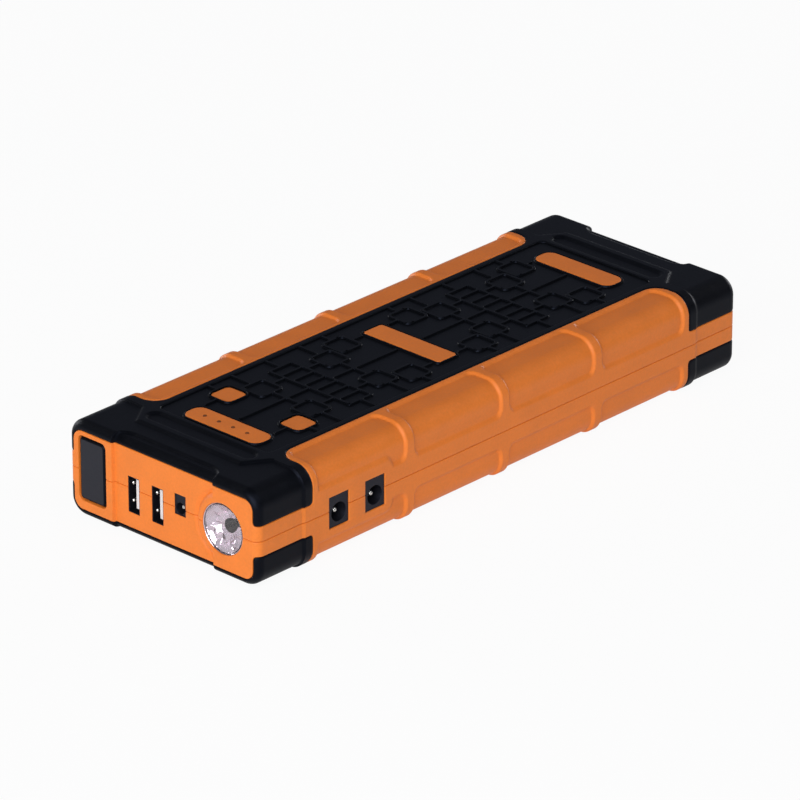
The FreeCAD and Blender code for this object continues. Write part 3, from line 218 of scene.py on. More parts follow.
# The flap over the jump socket and its opening
COVER_X = (-37.5, -25.2)
COVER_Z = (6.55, 29.25)
COVER_RADIUS = 1.8
FLAP_RADIUS, FLAP_DEPTH = COVER_RADIUS - 0.2, 1.8
# The flap's border, this wide, takes the black skin finish as painted shade on its rounded edge
FLAP_BORDER, BORDER_SLACK = 1.05, 0.01
FLAP_CELLS = (0.5, 0.6)
FLAP_LINES = (0.25, 0.4, 0.55, 0.8, FLAP_BORDER, 1.6)
FLAP_SINK, FLANGE_SINK = 0.06, 0.6
FLANGE_SLOPE = (0.22, 0.42)
FLANGE_WIDTH = 0.4
FLAP_ROUND = (1.2, 0.55)

# The underside and its screw counterbores
UNDER_DEPTH = 1.0
UNDER_SLOPE = (-0.9, 0.2)
BORE_RADIUS, BORE_DEPTH, SCREW_RADIUS = 2.8, 3.9, 1.6
BORE_TOP = 0.8
BORE_COUNT = 32
CASE_BORE_ROUND = (0.3, 0.2)
SKIN_BORE_ROUND = (0.4, 0.3)
BORES = ((-20.8, -105.8), (12.8, -105.8), (-33.4, -49.0), (33.4, -49.0), (-33.4, 107.0), (33.4, 107.0))

# The mesh is fine from here to the ends and near the outlines, by a margin, and coarser elsewhere
FINE_FROM = 82.0
RECESS_MARGIN, RING_MARGIN, PAD_MARGIN, RIB_MARGIN, HOLE_MARGIN = 3.0, 1.5, 5.0, 1.0, 1.0
COARSE_X, COARSE_Y, COARSE_Z = 2.2, 3.0, 1.0
CELL_GROWTH, CELL_SAMPLES = 0.35, 200
SEAM_SHARES = (-1, -0.4, 0, 0.4, 1)
RECESS_LINE_COUNT = 5

# How a CAD piece's edges are eased
WELD_REACH = 0.01
FLAT_ANGLE, EDGE_ANGLE, EDGE_SEGMENTS = 0.5, 35.0, 2
SOCKET_EDGE, INNER_EDGE, LAMP_EDGE = 0.15, 0.08, 0.1

# A moulded surface is mottled in clouds of this size, and in specks so much wider than its grain
CLOUD_MM, SPECKS_PER_GRAIN = 9.0, 1.7
GLOSS_SPREAD = 0.05

# The soft lamps: azimuth, elevation, distance and size in metres, brightness and colour
LAMPS = {
    "key_softbox": (20, 20, 1.8, 1.6, 1.06, "FFFFFF"),
    "side_softbox": (98, 48, 1.8, 1.4, 0.21, "FFFFFF"),
    "rear_softbox": (182, 6, 1.8, 0.9, 0.4, "FFFFFF"),
    "left_softbox": (274, 8, 1.8, 0.9, 0.35, "FFFFFF"),
    "sky_softbox": (223, 32, 2.2, 2.4, 0.03, "BCCBFF"),
}

# The floor and the room, and how strongly each kind of ray meets their white
FLOOR_HALF = 4.0
FLOOR_WHITE, FLOOR_IN_GLOSS, FLOOR_ON_SIDES = 0.94, 0.3, 0.35
ROOM_STRENGTH, ROOM_IN_LENS = 0.14, 0.5

# The camera, fitted to the photograph
CAMERA_TARGET = (0.0, -0.2, 15.9)
CAMERA_AZIMUTH, CAMERA_ELEVATION = 43.279, 24.996
CAMERA_DISTANCE = 2205.65
CAMERA_LENS, CAMERA_SENSOR = 305.58, 36.0
CAMERA_SHIFT = (-9.43 / 800, -3.48 / 800)
CAMERA_REACH = 30.0


def linear(hexa):
    """An sRGB colour such as 'E8822E' as the linear red, green, blue and alpha that nodes take."""
    parts = [int(hexa[k:k + 2], 16) / 255 for k in (0, 2, 4)]
    return tuple(c / 12.92 if c <= 0.04045 else ((c + 0.055) / 1.055) ** 2.4 for c in parts) + (1.0,)


def size(name):
    """A size that the user may change, in millimetres."""
    return getattr(bpy.context.scene.pack_sizes, name) / MM


def chosen_colour(name):
    """A colour that the user may change, as nodes take it."""
    return (*getattr(bpy.context.scene.pack_colours, name), 1)


def around(middle, half):
    """The low and high side of a span, from its middle."""
    return middle - half, middle + half


def ramp(value, start, end):
    """Smooth step from 0 at start to 1 at end."""
    t = np.clip((value - start) / (end - start), 0, 1)
    return t * t * (3 - 2 * t)


def ease(distance, width, fall):
    """How much a rounded edge falls, by distance from the edge."""
    t = np.clip(1 - distance / width, 0, 1)
    return fall * (1 - np.sqrt(1 - t * t))


def rounded(u, v, half_u, half_v, radius):
    """Distance outside a rounded rectangle round the origin, negative inside it."""
    over_u = np.abs(u) - half_u + radius
    over_v = np.abs(v) - half_v + radius
    outside = np.hypot(np.maximum(over_u, 0), np.maximum(over_v, 0))
    return outside + np.minimum(np.maximum(over_u, over_v), 0) - radius


def rounded_span(u, v, span_u, span_v, radius):
    """The same for a rectangle given by its low and high sides."""
    middle_u, middle_v = sum(span_u) / 2, sum(span_v) / 2
    half_u, half_v = (span_u[1] - span_u[0]) / 2, (span_v[1] - span_v[0]) / 2
    return rounded(u - middle_u, v - middle_v, half_u, half_v, radius)


def round_corner(a, b, radius):
    """Takes a place in a square corner zone to the round corner of that radius."""
    share = 2 * radius * radius
    return a * np.sqrt(1 - b * b / share), b * np.sqrt(1 - a * a / share)


def graded(exact, zones, fine, coarse):
    """Lattice positions that hold the exact ones and crowd together in the zones."""
    stops = sorted(set(np.round(exact, 5)))
    lows, highs = np.array(zones).T
    found = [stops[0]]
    for start, end in zip(stops, stops[1:]):
        t = np.linspace(start, end, CELL_SAMPLES)
        away = np.maximum(lows - t[:, None], t[:, None] - highs).min(axis=1).clip(0)
        step = np.clip(fine + CELL_GROWTH * away, fine, coarse)
        density = (1 / step[1:] + 1 / step[:-1]) / 2 * np.diff(t)
        total = np.concatenate([[0], np.cumsum(density)])
        count = max(1, round(total[-1]))
        found += list(np.interp(np.linspace(0, total[-1], count + 1)[1:], total, t))
    return np.array(found)


def sheet_quads(sheet):
    """The quads between the neighbours in a grid of point numbers."""
    return np.stack([sheet[:-1, :-1], sheet[1:, :-1], sheet[1:, 1:], sheet[:-1, 1:]], -1).reshape(-1, 4)


def box_lattice(xs, ys, zs):
    """The six sides of a box as quads on lattice lines, facing out."""
    key = np.arange(len(xs) * len(ys) * len(zs)).reshape(len(xs), len(ys), len(zs))
    # Each side has 1 where its quads face out as they come, and -1 where they are turned round
    sheets = ((key[:, :, -1], 1), (key[:, :, 0], -1), (key[:, 0, :], 1),
              (key[:, -1, :], -1), (key[-1, :, :], 1), (key[0, :, :], -1))
    quads = [sheet_quads(sheet)[:, ::turn] for sheet, turn in sheets]
    used, index = np.unique(np.concatenate(quads), return_inverse=True)
    i, j, k = np.unravel_index(used, key.shape)
    return np.stack([xs[i], ys[j], zs[k]], -1), index.reshape(-1, 4).tolist()


def flat_lattice(xs, ys):
    """A level sheet of quads that faces up."""
    key = np.arange(len(xs) * len(ys)).reshape(len(xs), len(ys))
    x, y = np.meshgrid(xs, ys, indexing="ij")
    return np.stack([x.ravel(), y.ravel(), np.zeros(x.size)], -1), sheet_quads(key).tolist()


def cut(points, faces, field):
    """Cuts faces along the line where field is zero. Returns points, then the faces on each side."""
    value = field(points)
    sign = np.where(np.abs(value) < 1e-6, 0, np.sign(value)).astype(int).tolist()
    inside, outside, crossings, added = [], [], {}, []
    for face in faces:
        signs = [sign[v] for v in face]
        if min(signs) >= 0:
            inside.append(face)
            continue
        if max(signs) <= 0:
            outside.append(face)
            continue
        kept, left = [], []
        for a, b in zip(face, face[1:] + face[:1]):
            if sign[a] >= 0:
                kept.append(a)
            if sign[a] <= 0:
                left.append(a)
            if sign[a] * sign[b] < 0:
                pair = (min(a, b), max(a, b))
                if pair not in crossings:
                    share = value[pair[0]] / (value[pair[0]] - value[pair[1]])
                    added.append(points[pair[0]] + (points[pair[1]] - points[pair[0]]) * share)
                    crossings[pair] = len(points) + len(added) - 1
                kept.append(crossings[pair])
                left.append(crossings[pair])
        inside.append(kept)
        outside.append(left)
    if added:
        points = np.concatenate([points, np.array(added)])
    return points, inside, outside


def scored(points, faces, field, levels):
    """Puts mesh lines along the given levels of a field, so that an edge's rounding is even."""
    for level in levels:
        points, inside, outside = cut(points, faces, lambda p: field(p) - level)
        faces = inside + outside
    return points, faces


def compact(points, faces):
    """Drops points that no face uses."""
    used = np.unique(np.concatenate([np.array(face) for face in faces]))
    place = np.zeros(len(points), int)
    place[used] = np.arange(len(used))
    place = place.tolist()
    return points[used], [[place[v] for v in face] for face in faces]


def walled(points, normals, faces, depth):
    """Turns every open edge of a sheet inward, as the wall of an opening or a rim."""
    normals = np.broadcast_to(normals, points.shape)
    sides = {(a, b) for face in faces for a, b in zip(face, face[1:] + face[:1])}
    rim = sorted((a, b) for a, b in sides if (b, a) not in sides)
    foot = {}
    added = []
    for vertex in sorted({v for side in rim for v in side}):
        foot[vertex] = len(points) + len(added)
        added.append(points[vertex] - normals[vertex] * depth)
    walls = [[b, a, foot[a], foot[b]] for a, b in rim]
    return np.concatenate([points, np.array(added)]), faces + walls


def merged(*parts):
    """Several sheets as one list of points and faces."""
    points, faces, offset = [], [], 0
    for part_points, part_faces in parts:
        points.append(part_points)
        faces += [[v + offset for v in face] for face in part_faces]
        offset += len(part_points)
    return np.concatenate(points), faces


def circle(middle_x, middle_z, radius, y, count, turn=0.0):
    """A ring of points round an axis along Y, turned on by a share of one step."""
    angles = [2 * math.pi * (k + turn) / count for k in range(count)]
    return [(middle_x + radius * math.cos(a), y, middle_z + radius * math.sin(a)) for a in angles]


def frame_loop(span_x, span_z, radius, y, inset):
    """A rounded rectangle of points in a plane across Y, drawn in by an inset."""
    radius = max(radius - inset, LEAST_RADIUS)
    corners = ((1, 1), (0, 1), (0, 0), (1, 0))
    points = []
    for quarter, (right, top) in enumerate(corners):
        middle_x = span_x[right] + (1 - 2 * right) * (radius + inset)
        middle_z = span_z[top] + (1 - 2 * top) * (radius + inset)
        for angle in (math.radians(90 * quarter + ARC_STEP * k) for k in range(ARC_COUNT)):
            points.append((middle_x + radius * math.cos(angle), y, middle_z + radius * math.sin(angle)))
    return points


def lofted(loops, flip=False, cap=False):
    """Joins rings of as many points each with quads, and closes the last one if asked."""
    count = len(loops[0])
    faces = []
    for ring in range(len(loops) - 1):
        for k in range(count):
            a, b = ring * count + k, ring * count + (k + 1) % count
            faces.append([a, b, b + count, a + count])
    if cap:
        last = (len(loops) - 1) * count
        faces.append(list(range(last, last + count)))
    if flip:
        faces = [face[::-1] for face in faces]
    return np.array([point for loop in loops for point in loop]), faces


def lofted_along_x(profile, middle_y, middle_z, count):
    """A profile of radii and places along X, turned about an axis along X and closed at its tip."""
    points, faces = lofted([circle(0, 0, radius, -x, count) for radius, x in profile], cap=True)
    return np.stack([-points[:, 1], middle_y + points[:, 0], middle_z + points[:, 2]], -1), faces


def mesh_object(name, points, faces, slot, nodes=(), body="case", sharp=40.0):
    """Makes the piece in metres, rides it on its body and lets it stand for its CAD nodes."""
    mesh = bpy.data.meshes.new(name)
    mesh.from_pydata((np.asarray(points) * MM).tolist(), [], faces)
    mesh.validate()
    mesh.shade_smooth()
    mesh.set_sharp_from_angle(angle=math.radians(sharp))
    mesh.materials.append(finish_for(slot))
    made = bpy.data.objects.new(name, mesh)
    bpy.context.scene.collection.objects.link(made)
    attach(made, body)
    if nodes:
        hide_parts(*nodes)


def body_surface(points):
    """Bends lattice points onto the rounded, stepped body. Returns places and outward normals."""
    x, y, z = points[:, 0], points[:, 1], points[:, 2] - HALF_HEIGHT
    side, end, rise = np.sign(x), np.sign(y), np.sign(z)
    along = np.abs(y)
    radius = LONG_EDGE_RADIUS
    zone_x = np.maximum(np.abs(x) - HALF_WIDTH + radius, 0)
    zone_z = np.maximum(np.abs(z) - HALF_HEIGHT + radius, 0)
    bent_x, bent_z = round_corner(zone_x, zone_z, radius)
    x = side * (np.abs(x) - zone_x + bent_x)
    z = rise * (np.abs(z) - zone_z + bent_z)

    # Which way is out, and how deep a place on an end face lies inside the body's outline
    over_x = np.abs(x) - HALF_WIDTH + radius
    over_z = np.abs(z) - HALF_HEIGHT + radius
    past_x, past_z = np.maximum(over_x, 0), np.maximum(over_z, 0)
    corner = np.hypot(past_x, past_z)
    depth = radius - corner - np.minimum(np.maximum(over_x, over_z), 0)
    level = corner < 1e-9
    out_x = side * np.where(level, over_x > over_z, past_x / np.maximum(corner, 1e-9))
    out_z = rise * np.where(level, over_x <= over_z, past_z / np.maximum(corner, 1e-9))

    # The caps stand in from the middle, but for the plateau on top and below
    (wide, near), (narrow, far) = PLATEAU
    slant = math.hypot(far - near, wide - narrow)
    past_slant = ((np.abs(x) - wide) * (far - near) + (along - near) * (wide - narrow)) / slant
    plateau = 1 - ramp(np.maximum(past_slant, along - far), *PLATEAU_SLOPE)
    step = SIDE_STEP + (TOP_STEP - SIDE_STEP) * out_z**2
    step = step * ramp(along - MIDDLE_END, *CAP_SLOPE) * (1 - plateau)

    # The middle of each end face lies back, but for the ring round the lamp and the groove beside it
    from_lamp = np.hypot(x - LAMP_X, z + HALF_HEIGHT - LAMP_Z)
    ring = np.where(end < 0, ramp(from_lamp, *LAMP_RING_SLOPE), 1)
    recess = (1 - ramp(np.abs(x) - RECESS_HALF, *RECESS_SLOPE)) * ring
    groove = RING_GROOVE_DEPTH * np.exp(-((from_lamp - RING_GROOVE_RADIUS) / RING_GROOVE_WIDTH) ** 2)
    groove = groove * (end < 0) * (np.abs(x) < RECESS_HALF)

    # The scoop takes the top edge of that middle down
    scoop_y = (SCOOP_START, SCOOP_START + RUN_ON)
    scoop = rounded_span(x, along, (-RECESS_HALF, RECESS_HALF), scoop_y, SCOOP_RADIUS)
    drop = SCOOP_DROP * (1 - ramp(scoop, *SCOOP_SLOPE)) * ring * np.maximum(out_z, 0)
    fade = np.clip(1 - depth / radius, 0, 1)
    x = x - out_x * (step + drop) * fade
    z = z - out_z * (step + drop) * fade

    # The edges round the end faces
    edge = END_EDGE_RADIUS + (CORNER_RADIUS - END_EDGE_RADIUS) * out_x**2
    zone_y = np.clip(along - HALF_LENGTH + edge, 0, edge)
    zone_in = np.clip(edge - depth, 0, edge)
    bent_y, bent_in = round_corner(zone_y, zone_in, edge)
    back = (RECESS_DEPTH * recess + groove) * ramp(along - HALF_LENGTH, *END_SLOPE)
    y = end * (along - zone_y + bent_y - back)
    x = x - out_x * (zone_in - bent_in)
    z = z - out_z * (zone_in - bent_in)
    normals = np.stack([out_x * bent_in, end * bent_y, out_z * bent_in], -1) / edge[:, None]
    return np.stack([x, y, z + HALF_HEIGHT], -1), normals


def on_body(field):
    """Lets a field of places on the body be asked for at lattice points."""
    return lambda points: field(body_surface(points)[0])


def orange_reach(place):
    """How far inside the orange a place lies, negative in the black."""
    x, y, z = place.T
    window = -rounded(np.abs(x) - WINDOW_X - RUN_ON, y, RUN_ON, WINDOW_END, WINDOW_RADIUS)
    band = BAND_HALF - np.abs(z - SEAM_Z)
    face = -rounded_span(x, z, FACE_X, FACE_Z, FACE_RADIUS)
    reach = window
    for other in (band, face):
        # The black corners between the parts are round
        near = np.maximum(BLEND - np.abs(reach - other), 0)
        reach = np.maximum(reach, other) + near**2 / (4 * BLEND)
    return reach


def black_reach(place):
    """How far inside the black a place lies, negative in the orange."""
    return -orange_reach(place)


def panel_reach(place):
    """How far inside the nearest side panel's outline a place lies."""
    x, y, z = place.T
    across_upper = (np.abs(x) - z) / math.sqrt(2)
    across_lower = (np.abs(x) + z) / math.sqrt(2)
    nearest = np.full(len(x), FAR)
    for k in range(PANEL_COUNT):
        front = max(-PANEL_LIMIT, -WINDOW_END + PANEL_PITCH * k + RIB_HALF)
        rear = min(PANEL_LIMIT, -WINDOW_END + PANEL_PITCH * (k + 1) - RIB_HALF)
        for across, span in ((across_upper, UPPER_ACROSS), (across_lower, LOWER_ACROSS)):
            nearest = np.minimum(nearest, rounded_span(across, y, span, (front, rear), PANEL_RADIUS))
    return -nearest


def pad_distance(place):
    """Distance outside the level pad that carries the outlets, on one side only."""
    x, y, z = place.T
    return np.where(x > 0, rounded_span(y, z, PAD_Y, PAD_Z, PAD_RADIUS), FAR)


def port_distance(place):
    """Distance outside the nearest opening in the case."""
    x, y, z = place.T
    in_end = [rounded_span(x, z, around(middle, USB_HALF), USB_Z, 0) for middle in USB_MIDDLES]
    in_end.append(rounded_span(x, z, around(CHARGE_MIDDLE, CHARGE_HALF), CHARGE_Z, 0))
    in_end.append(rounded_span(x, z, COVER_X, COVER_Z, COVER_RADIUS))
    in_end.append(np.hypot(x - LAMP_X, z - LAMP_Z) - LAMP_HOLE_RADIUS)
    in_side = [rounded_span(y, z, around(middle, OUTLET_HALF), OUTLET_Z, 0) for middle in OUTLET_MIDDLES]
    from_end = np.where(y < END_ZONE - HALF_LENGTH, np.minimum.reduce(in_end), FAR)
    from_side = np.where(x > HALF_WIDTH - SIDE_ZONE, np.minimum.reduce(in_side), FAR)
    return np.minimum(from_end, from_side)


def bore_distance(place):
    """Distance outside the nearest screw counterbore in the underside."""
    x, y, z = place.T
    found = [np.hypot(x - bore_x, y - bore_y) for bore_x, bore_y in BORES]
    return np.where(z < UNDER_ZONE, np.minimum.reduce(found) - BORE_RADIUS, FAR)


def deck_distance(place):
    """Distance outside the grip deck's opening in the top."""
    x, y, z = place.T
    return np.where(z > SEAM_Z, rounded(x, y, DECK_HALF_WIDTH, DECK_HALF_LENGTH, DECK_RADIUS), FAR)


def case_height(place):
    """How far the orange stands off the plain body."""
    inset = size("panel_inset") * ramp(panel_reach(place), *PANEL_SLOPE)
    inset = inset * ramp(pad_distance(place), *PAD_SLOPE)
    fall = ease(orange_reach(place), *CASE_LIP_ROUND) + ease(np.abs(place[:, 2] - SEAM_Z), *SEAM_ROUND)
    fall += ease(port_distance(place), *PORT_ROUND) + ease(bore_distance(place), *CASE_BORE_ROUND)
    return -size("skin_proud") - inset - fall


def skin_height(place):
    """How far the black skin stands off the plain body."""
    x, y, z = place.T
    slot = rounded_span(x, np.abs(y), SLOT_X, SLOT_Y, SLOT_RADIUS)
    pocket = np.where(z > SEAM_Z, SLOT_DEPTH * (1 - ramp(slot, *SLOT_SLOPE)), 0)
    under = rounded(x, y, DECK_HALF_WIDTH, DECK_HALF_LENGTH, DECK_RADIUS)
    panel = np.where(z < SEAM_Z, UNDER_DEPTH * (1 - ramp(under, *UNDER_SLOPE)), 0)
    fall = ease(black_reach(place), size("lip_radius"), SKIN_LIP_FALL)
    fall += ease(deck_distance(place), *DECK_ROUND) + ease(bore_distance(place), *SKIN_BORE_ROUND)
    return -pocket - panel - fall


def body_lattice():
    """The lattice of the whole outer body, fine where its shape or its colour turns."""
    lines_x = [x for middle in USB_MIDDLES for x in around(middle, USB_HALF)]
    lines_x += [*around(CHARGE_MIDDLE, CHARGE_HALF), *COVER_X, -HALF_WIDTH, HALF_WIDTH]
    recess_lines = np.linspace(*RECESS_SLOPE, RECESS_LINE_COUNT)
    lines_x += [side * (RECESS_HALF + away) for side in SIDES for away in recess_lines]
    lines_y = [y for middle in OUTLET_MIDDLES for y in around(middle, OUTLET_HALF)]
    lines_y += [-HALF_LENGTH, HALF_LENGTH]
    lines_z = [SEAM_Z + share * SEAM_ROUND[0] for share in SEAM_SHARES]
    lines_z += [0, HEIGHT, *USB_Z, *OUTLET_Z, *CHARGE_Z, *COVER_Z]
    zones_x = [(-HALF_WIDTH, RECESS_MARGIN - RECESS_HALF)]
    zones_x += [(LAMP_X - LAMP_RING_SLOPE[1] - RING_MARGIN, HALF_WIDTH)]
    zones_y = [(-HALF_LENGTH, -FINE_FROM), (FINE_FROM, HALF_LENGTH), around(PAD_Y[1], PAD_MARGIN)]
    ribs = [-WINDOW_END + PANEL_PITCH * k for k in range(1, PANEL_COUNT)]
    zones_y += [around(rib, RIB_HALF + PANEL_RADIUS + RIB_MARGIN) for rib in ribs]
    cell = size("cell")
    return box_lattice(graded(lines_x, zones_x, cell, COARSE_X), graded(lines_y, zones_y, cell, COARSE_Y),
                       graded(lines_z, [(0, HEIGHT)], cell, COARSE_Z))


def finished_sheet(points, faces, height):
    """Lifts the lattice to its finished height and walls its open edges."""
    points, faces = compact(points, faces)
    place, normals = body_surface(points)
    return walled(place + normals * height(place)[:, None], normals, faces, WALL_DEPTH)


def split_at_seam(points, faces):
    """Faces above the seam, then those below it."""
    level = points[:, 2].tolist()
    upper, lower = [], []
    for face in faces:
        (upper if sum(level[v] for v in face) / len(face) > SEAM_Z else lower).append(face)
    return upper, lower


def opened(points, faces, field, lines=()):
    """Cuts openings in the body where a distance is negative, and scores lines round them."""
    points, faces, _ = cut(points, faces, on_body(field))
    return scored(points, faces, on_body(field), lines)


def shell_sheets():
    """The four outer sheets: upper and lower case, upper and lower skin."""
    points, faces = body_lattice()
    points, orange, black = cut(points, faces, on_body(orange_reach))
    points, orange = scored(points, orange, on_body(orange_reach), CASE_LIP_LINES)
    points, orange = scored(points, orange, on_body(panel_reach), PANEL_LINES)
    points, orange = opened(points, orange, port_distance, PORT_LINES)
    points, orange = opened(points, orange, bore_distance)
    lip_lines = [size("lip_radius") * share for share in SKIN_LIP_SHARES]
    points, black = scored(points, black, on_body(black_reach), lip_lines)
    points, black = opened(points, black, deck_distance, DECK_LINES)
    points, black = opened(points, black, bore_distance)
    sheets = {}
    for piece, faces, height in (("case", orange, case_height), ("skin", black, skin_height)):
        upper, lower = split_at_seam(points, faces)
        sheets["upper_" + piece] = finished_sheet(points, upper, height)
        sheets["lower_" + piece] = finished_sheet(points, lower, height)
    return sheets


def ladder_lines(y):
    """Centre lines of one ladder, as (x0, x1, y0, y1)."""
    half = BAR_PITCH * (BAR_COUNT - 1) / 2
    rails = [(-half, half, y + side * RAIL_Y, y + side * RAIL_Y) for side in SIDES]
    bar_xs = [-half + BAR_PITCH * k for k in range(BAR_COUNT)]
    bars = [(x, x, y - RAIL_Y, y + RAIL_Y) for x in bar_xs]
    stubs = [(side * half, side * DECK_HALF_WIDTH, y, y) for side in SIDES]
    return rails + bars + stubs


def square_lines(y, away, end_y):
    """Middles of the squares beside a ladder, and the centre lines that join them."""
    inner_y, outer_y, rail_y = y + away * INNER_SQUARE[1], y + away * OUTER_SQUARE[1], y + away * RAIL_Y
    squares, lines = [], [(0, 0, rail_y, end_y)]
    for side in SIDES:
        inner_x, outer_x = side * INNER_SQUARE[0], side * OUTER_SQUARE[0]
        reach, deck_side = side * SQUARE_HALF, side * DECK_HALF_WIDTH
        squares += [(inner_x, inner_y), (outer_x, outer_y)]
        lines.append((inner_x, inner_x, rail_y, inner_y - away * SQUARE_HALF))
        lines.append((0, inner_x - reach, inner_y, inner_y))
        lines.append((inner_x + reach, deck_side, inner_y, inner_y))
        lines.append((outer_x + reach, deck_side, outer_y, outer_y))
        lines.append((outer_x, outer_x, outer_y + away * SQUARE_HALF, end_y))
    return squares, lines


def grip_pattern():
    """All squares and lines of the raised grip pattern."""
    gap = COLLAR_FOOT + RIDGE_FOOT + LAND_GAP + LINE_GAP
    groups = [(side * LADDER_Y, -side, side * (PLATE_Y[1] + gap)) for side in SIDES]
    groups += [(-LADDER_Y, -1, METER_Y[1] + gap), (LADDER_Y, 1, BAR_Y[0] - gap)]
    squares, lines = [], []
    for group in groups:
        more_squares, more_lines = square_lines(*group)
        squares += more_squares
        lines += more_lines
    for side in SIDES:
        lines += ladder_lines(side * LADDER_Y)
    return squares, lines


def land_distance(points):
    """Distance outside the nearest orange land or key of the deck."""
    x, y = points[:, 0], points[:, 1]
    lands = [
        rounded_span(x, y, PLATE_X, PLATE_Y, PLATE_RADIUS),
        rounded_span(x, y, METER_X, METER_Y, LAND_RADIUS),
        rounded_span(x, y, PLATE_X, BAR_Y, LAND_RADIUS),
    ]
    key = rounded(np.abs(x) - KEY_X, y - KEY_Y, KEY_HOLE_HALF, KEY_HOLE_HALF, KEY_HOLE_RADIUS)
    return np.minimum(np.minimum.reduce(lands) - LAND_GAP, key)


def deck_stations(middles, edges, limit):
    """Mesh lines across the deck that follow the ridges' middles and the lands' edges."""
    steps = (RIDGE_FLAT, RIDGE_FOOT, RIDGE_CLEAR)
    found = {middle + side * step for middle in middles for side in SIDES for step in steps}
    found |= {near for edge in edges for near in around(edge, EDGE_STATION)}
    spaced = [-limit]
    for value in sorted(v for v in found if abs(v) < limit - DECK_BORDER):
        if value - spaced[-1] > LEAST_CELL:
            spaced.append(value)
    return graded([*spaced, limit], [(-limit, limit)], DECK_CELL, DECK_CELL)


def deck_sheet():
    """The deck's floor with its raised pattern, open round the lands and keys."""
    squares, lines = grip_pattern()
    middles_x = {round(x, 3) for line in lines for x in line[:2]}
    middles_x |= {round(edge, 3) for x, _ in squares for edge in around(x, SQUARE_HALF)}
    middles_y = {round(y, 3) for line in lines for y in line[2:]}
    middles_y |= {round(edge, 3) for _, y in squares for edge in around(y, SQUARE_HALF)}
    edges_x = [side * edge for side in SIDES for edge in (PLATE_X[1] + LAND_GAP, KEY_X - KEY_HOLE_HALF)]
    edges_x += [METER_X[0] - LAND_GAP, METER_X[1] + LAND_GAP]
    edges_y = [*METER_Y, *BAR_Y, *PLATE_Y, *around(KEY_Y, KEY_HOLE_HALF)]
    xs = deck_stations(middles_x, edges_x, DECK_HALF_WIDTH + DECK_OVERLAP)
    ys = deck_stations(middles_y, edges_y, DECK_HALF_LENGTH + DECK_OVERLAP)
    points, faces = flat_lattice(xs, ys)
    points, faces, _ = cut(points, faces, land_distance)

    def from_ridge(p):
        """Distance from the middle of the nearest ridge, where a collar counts as one."""
        x, y = p[:, 0], p[:, 1]
        nearest = land_distance(p) - COLLAR_FLAT + RIDGE_FLAT
        for middle_x, middle_y in squares:
            ring = rounded(x - middle_x, y - middle_y, SQUARE_HALF, SQUARE_HALF, SQUARE_RADIUS)
            nearest = np.minimum(nearest, np.abs(ring))
        for x0, x1, y0, y1 in lines:
            away_x = np.maximum(np.abs(x - (x0 + x1) / 2) - abs(x1 - x0) / 2, 0)
            away_y = np.maximum(np.abs(y - (y0 + y1) / 2) - abs(y1 - y0) / 2, 0)
            nearest = np.minimum(nearest, np.hypot(away_x, away_y))
        return nearest

    ridge_lines = (RIDGE_FLAT, (RIDGE_FLAT + RIDGE_FOOT) / 2, RIDGE_FOOT)
    points, faces = scored(points, faces, from_ridge, ridge_lines)
    points, faces = scored(points, faces, land_distance, COLLAR_LINES)
    points, faces = compact(points, faces)
    raised = 1 - ramp(from_ridge(points), RIDGE_FLAT, RIDGE_FOOT)
    fall = ease(land_distance(points), *COLLAR_ROUND)
    points[:, 2] = DECK_FLOOR + (HEIGHT - DECK_FLOOR) * raised - fall
    return walled(points, UP, faces, WALL_DEPTH)


def land_sheet(span_x, span_y, radius, holes=()):
    """One orange land: a level top with eased edges, and holes where the lights show."""
    def inside(p):
        reach = -rounded_span(p[:, 0], p[:, 1], span_x, span_y, radius)
        for hole_x, hole_y in holes:
            reach = np.minimum(reach, np.hypot(p[:, 0] - hole_x, p[:, 1] - hole_y) - LIGHT_RADIUS)
        return reach

    stations = []
    for axis, span in enumerate((span_x, span_y)):
        middles = [hole[axis] for hole in holes]
        zones = [around(middle, HOLE_MARGIN) for middle in middles] or [(0, 0)]
        stations.append(graded([*span, *middles], zones, *LAND_CELLS))
    points, faces = flat_lattice(*stations)
    points, faces, _ = cut(points, faces, inside)
    points, faces = scored(points, faces, inside, LAND_LINES)
    points, faces = compact(points, faces)
    points[:, 2] = HEIGHT - LAND_SINK - ease(inside(points), *LAND_ROUND)
    return walled(points, UP, faces, LAND_DEPTH)


def link(tree, node, sources):
    """Links sockets, or the first output of other nodes, to a node's inputs."""
    for name, source in sources.items():
        if isinstance(source, bpy.types.Node):
            source = source.outputs[0]
        tree.links.new(source, node.inputs[name])


def add(tree, kind, values=None, sources=None):
    """Adds a shader node, sets its inputs or settings by name, and links its inputs."""
    node = tree.nodes.new("ShaderNode" + kind)
    for name, value in (values or {}).items():
        if isinstance(name, int) or name in node.inputs:
            node.inputs[name].default_value = value
        else:
            setattr(node, name, value)
    link(tree, node, sources or {})
    return node


def new_material(name, values):
    """A material with one surface shader, set on the shader's own sockets."""
    material = bpy.data.materials.new(name)
    material.use_nodes = True
    tree = material.node_tree
    shader = tree.nodes["Principled BSDF"]
    for socket, value in values.items():
        shader.inputs[socket].default_value = value
    return material, tree, shader


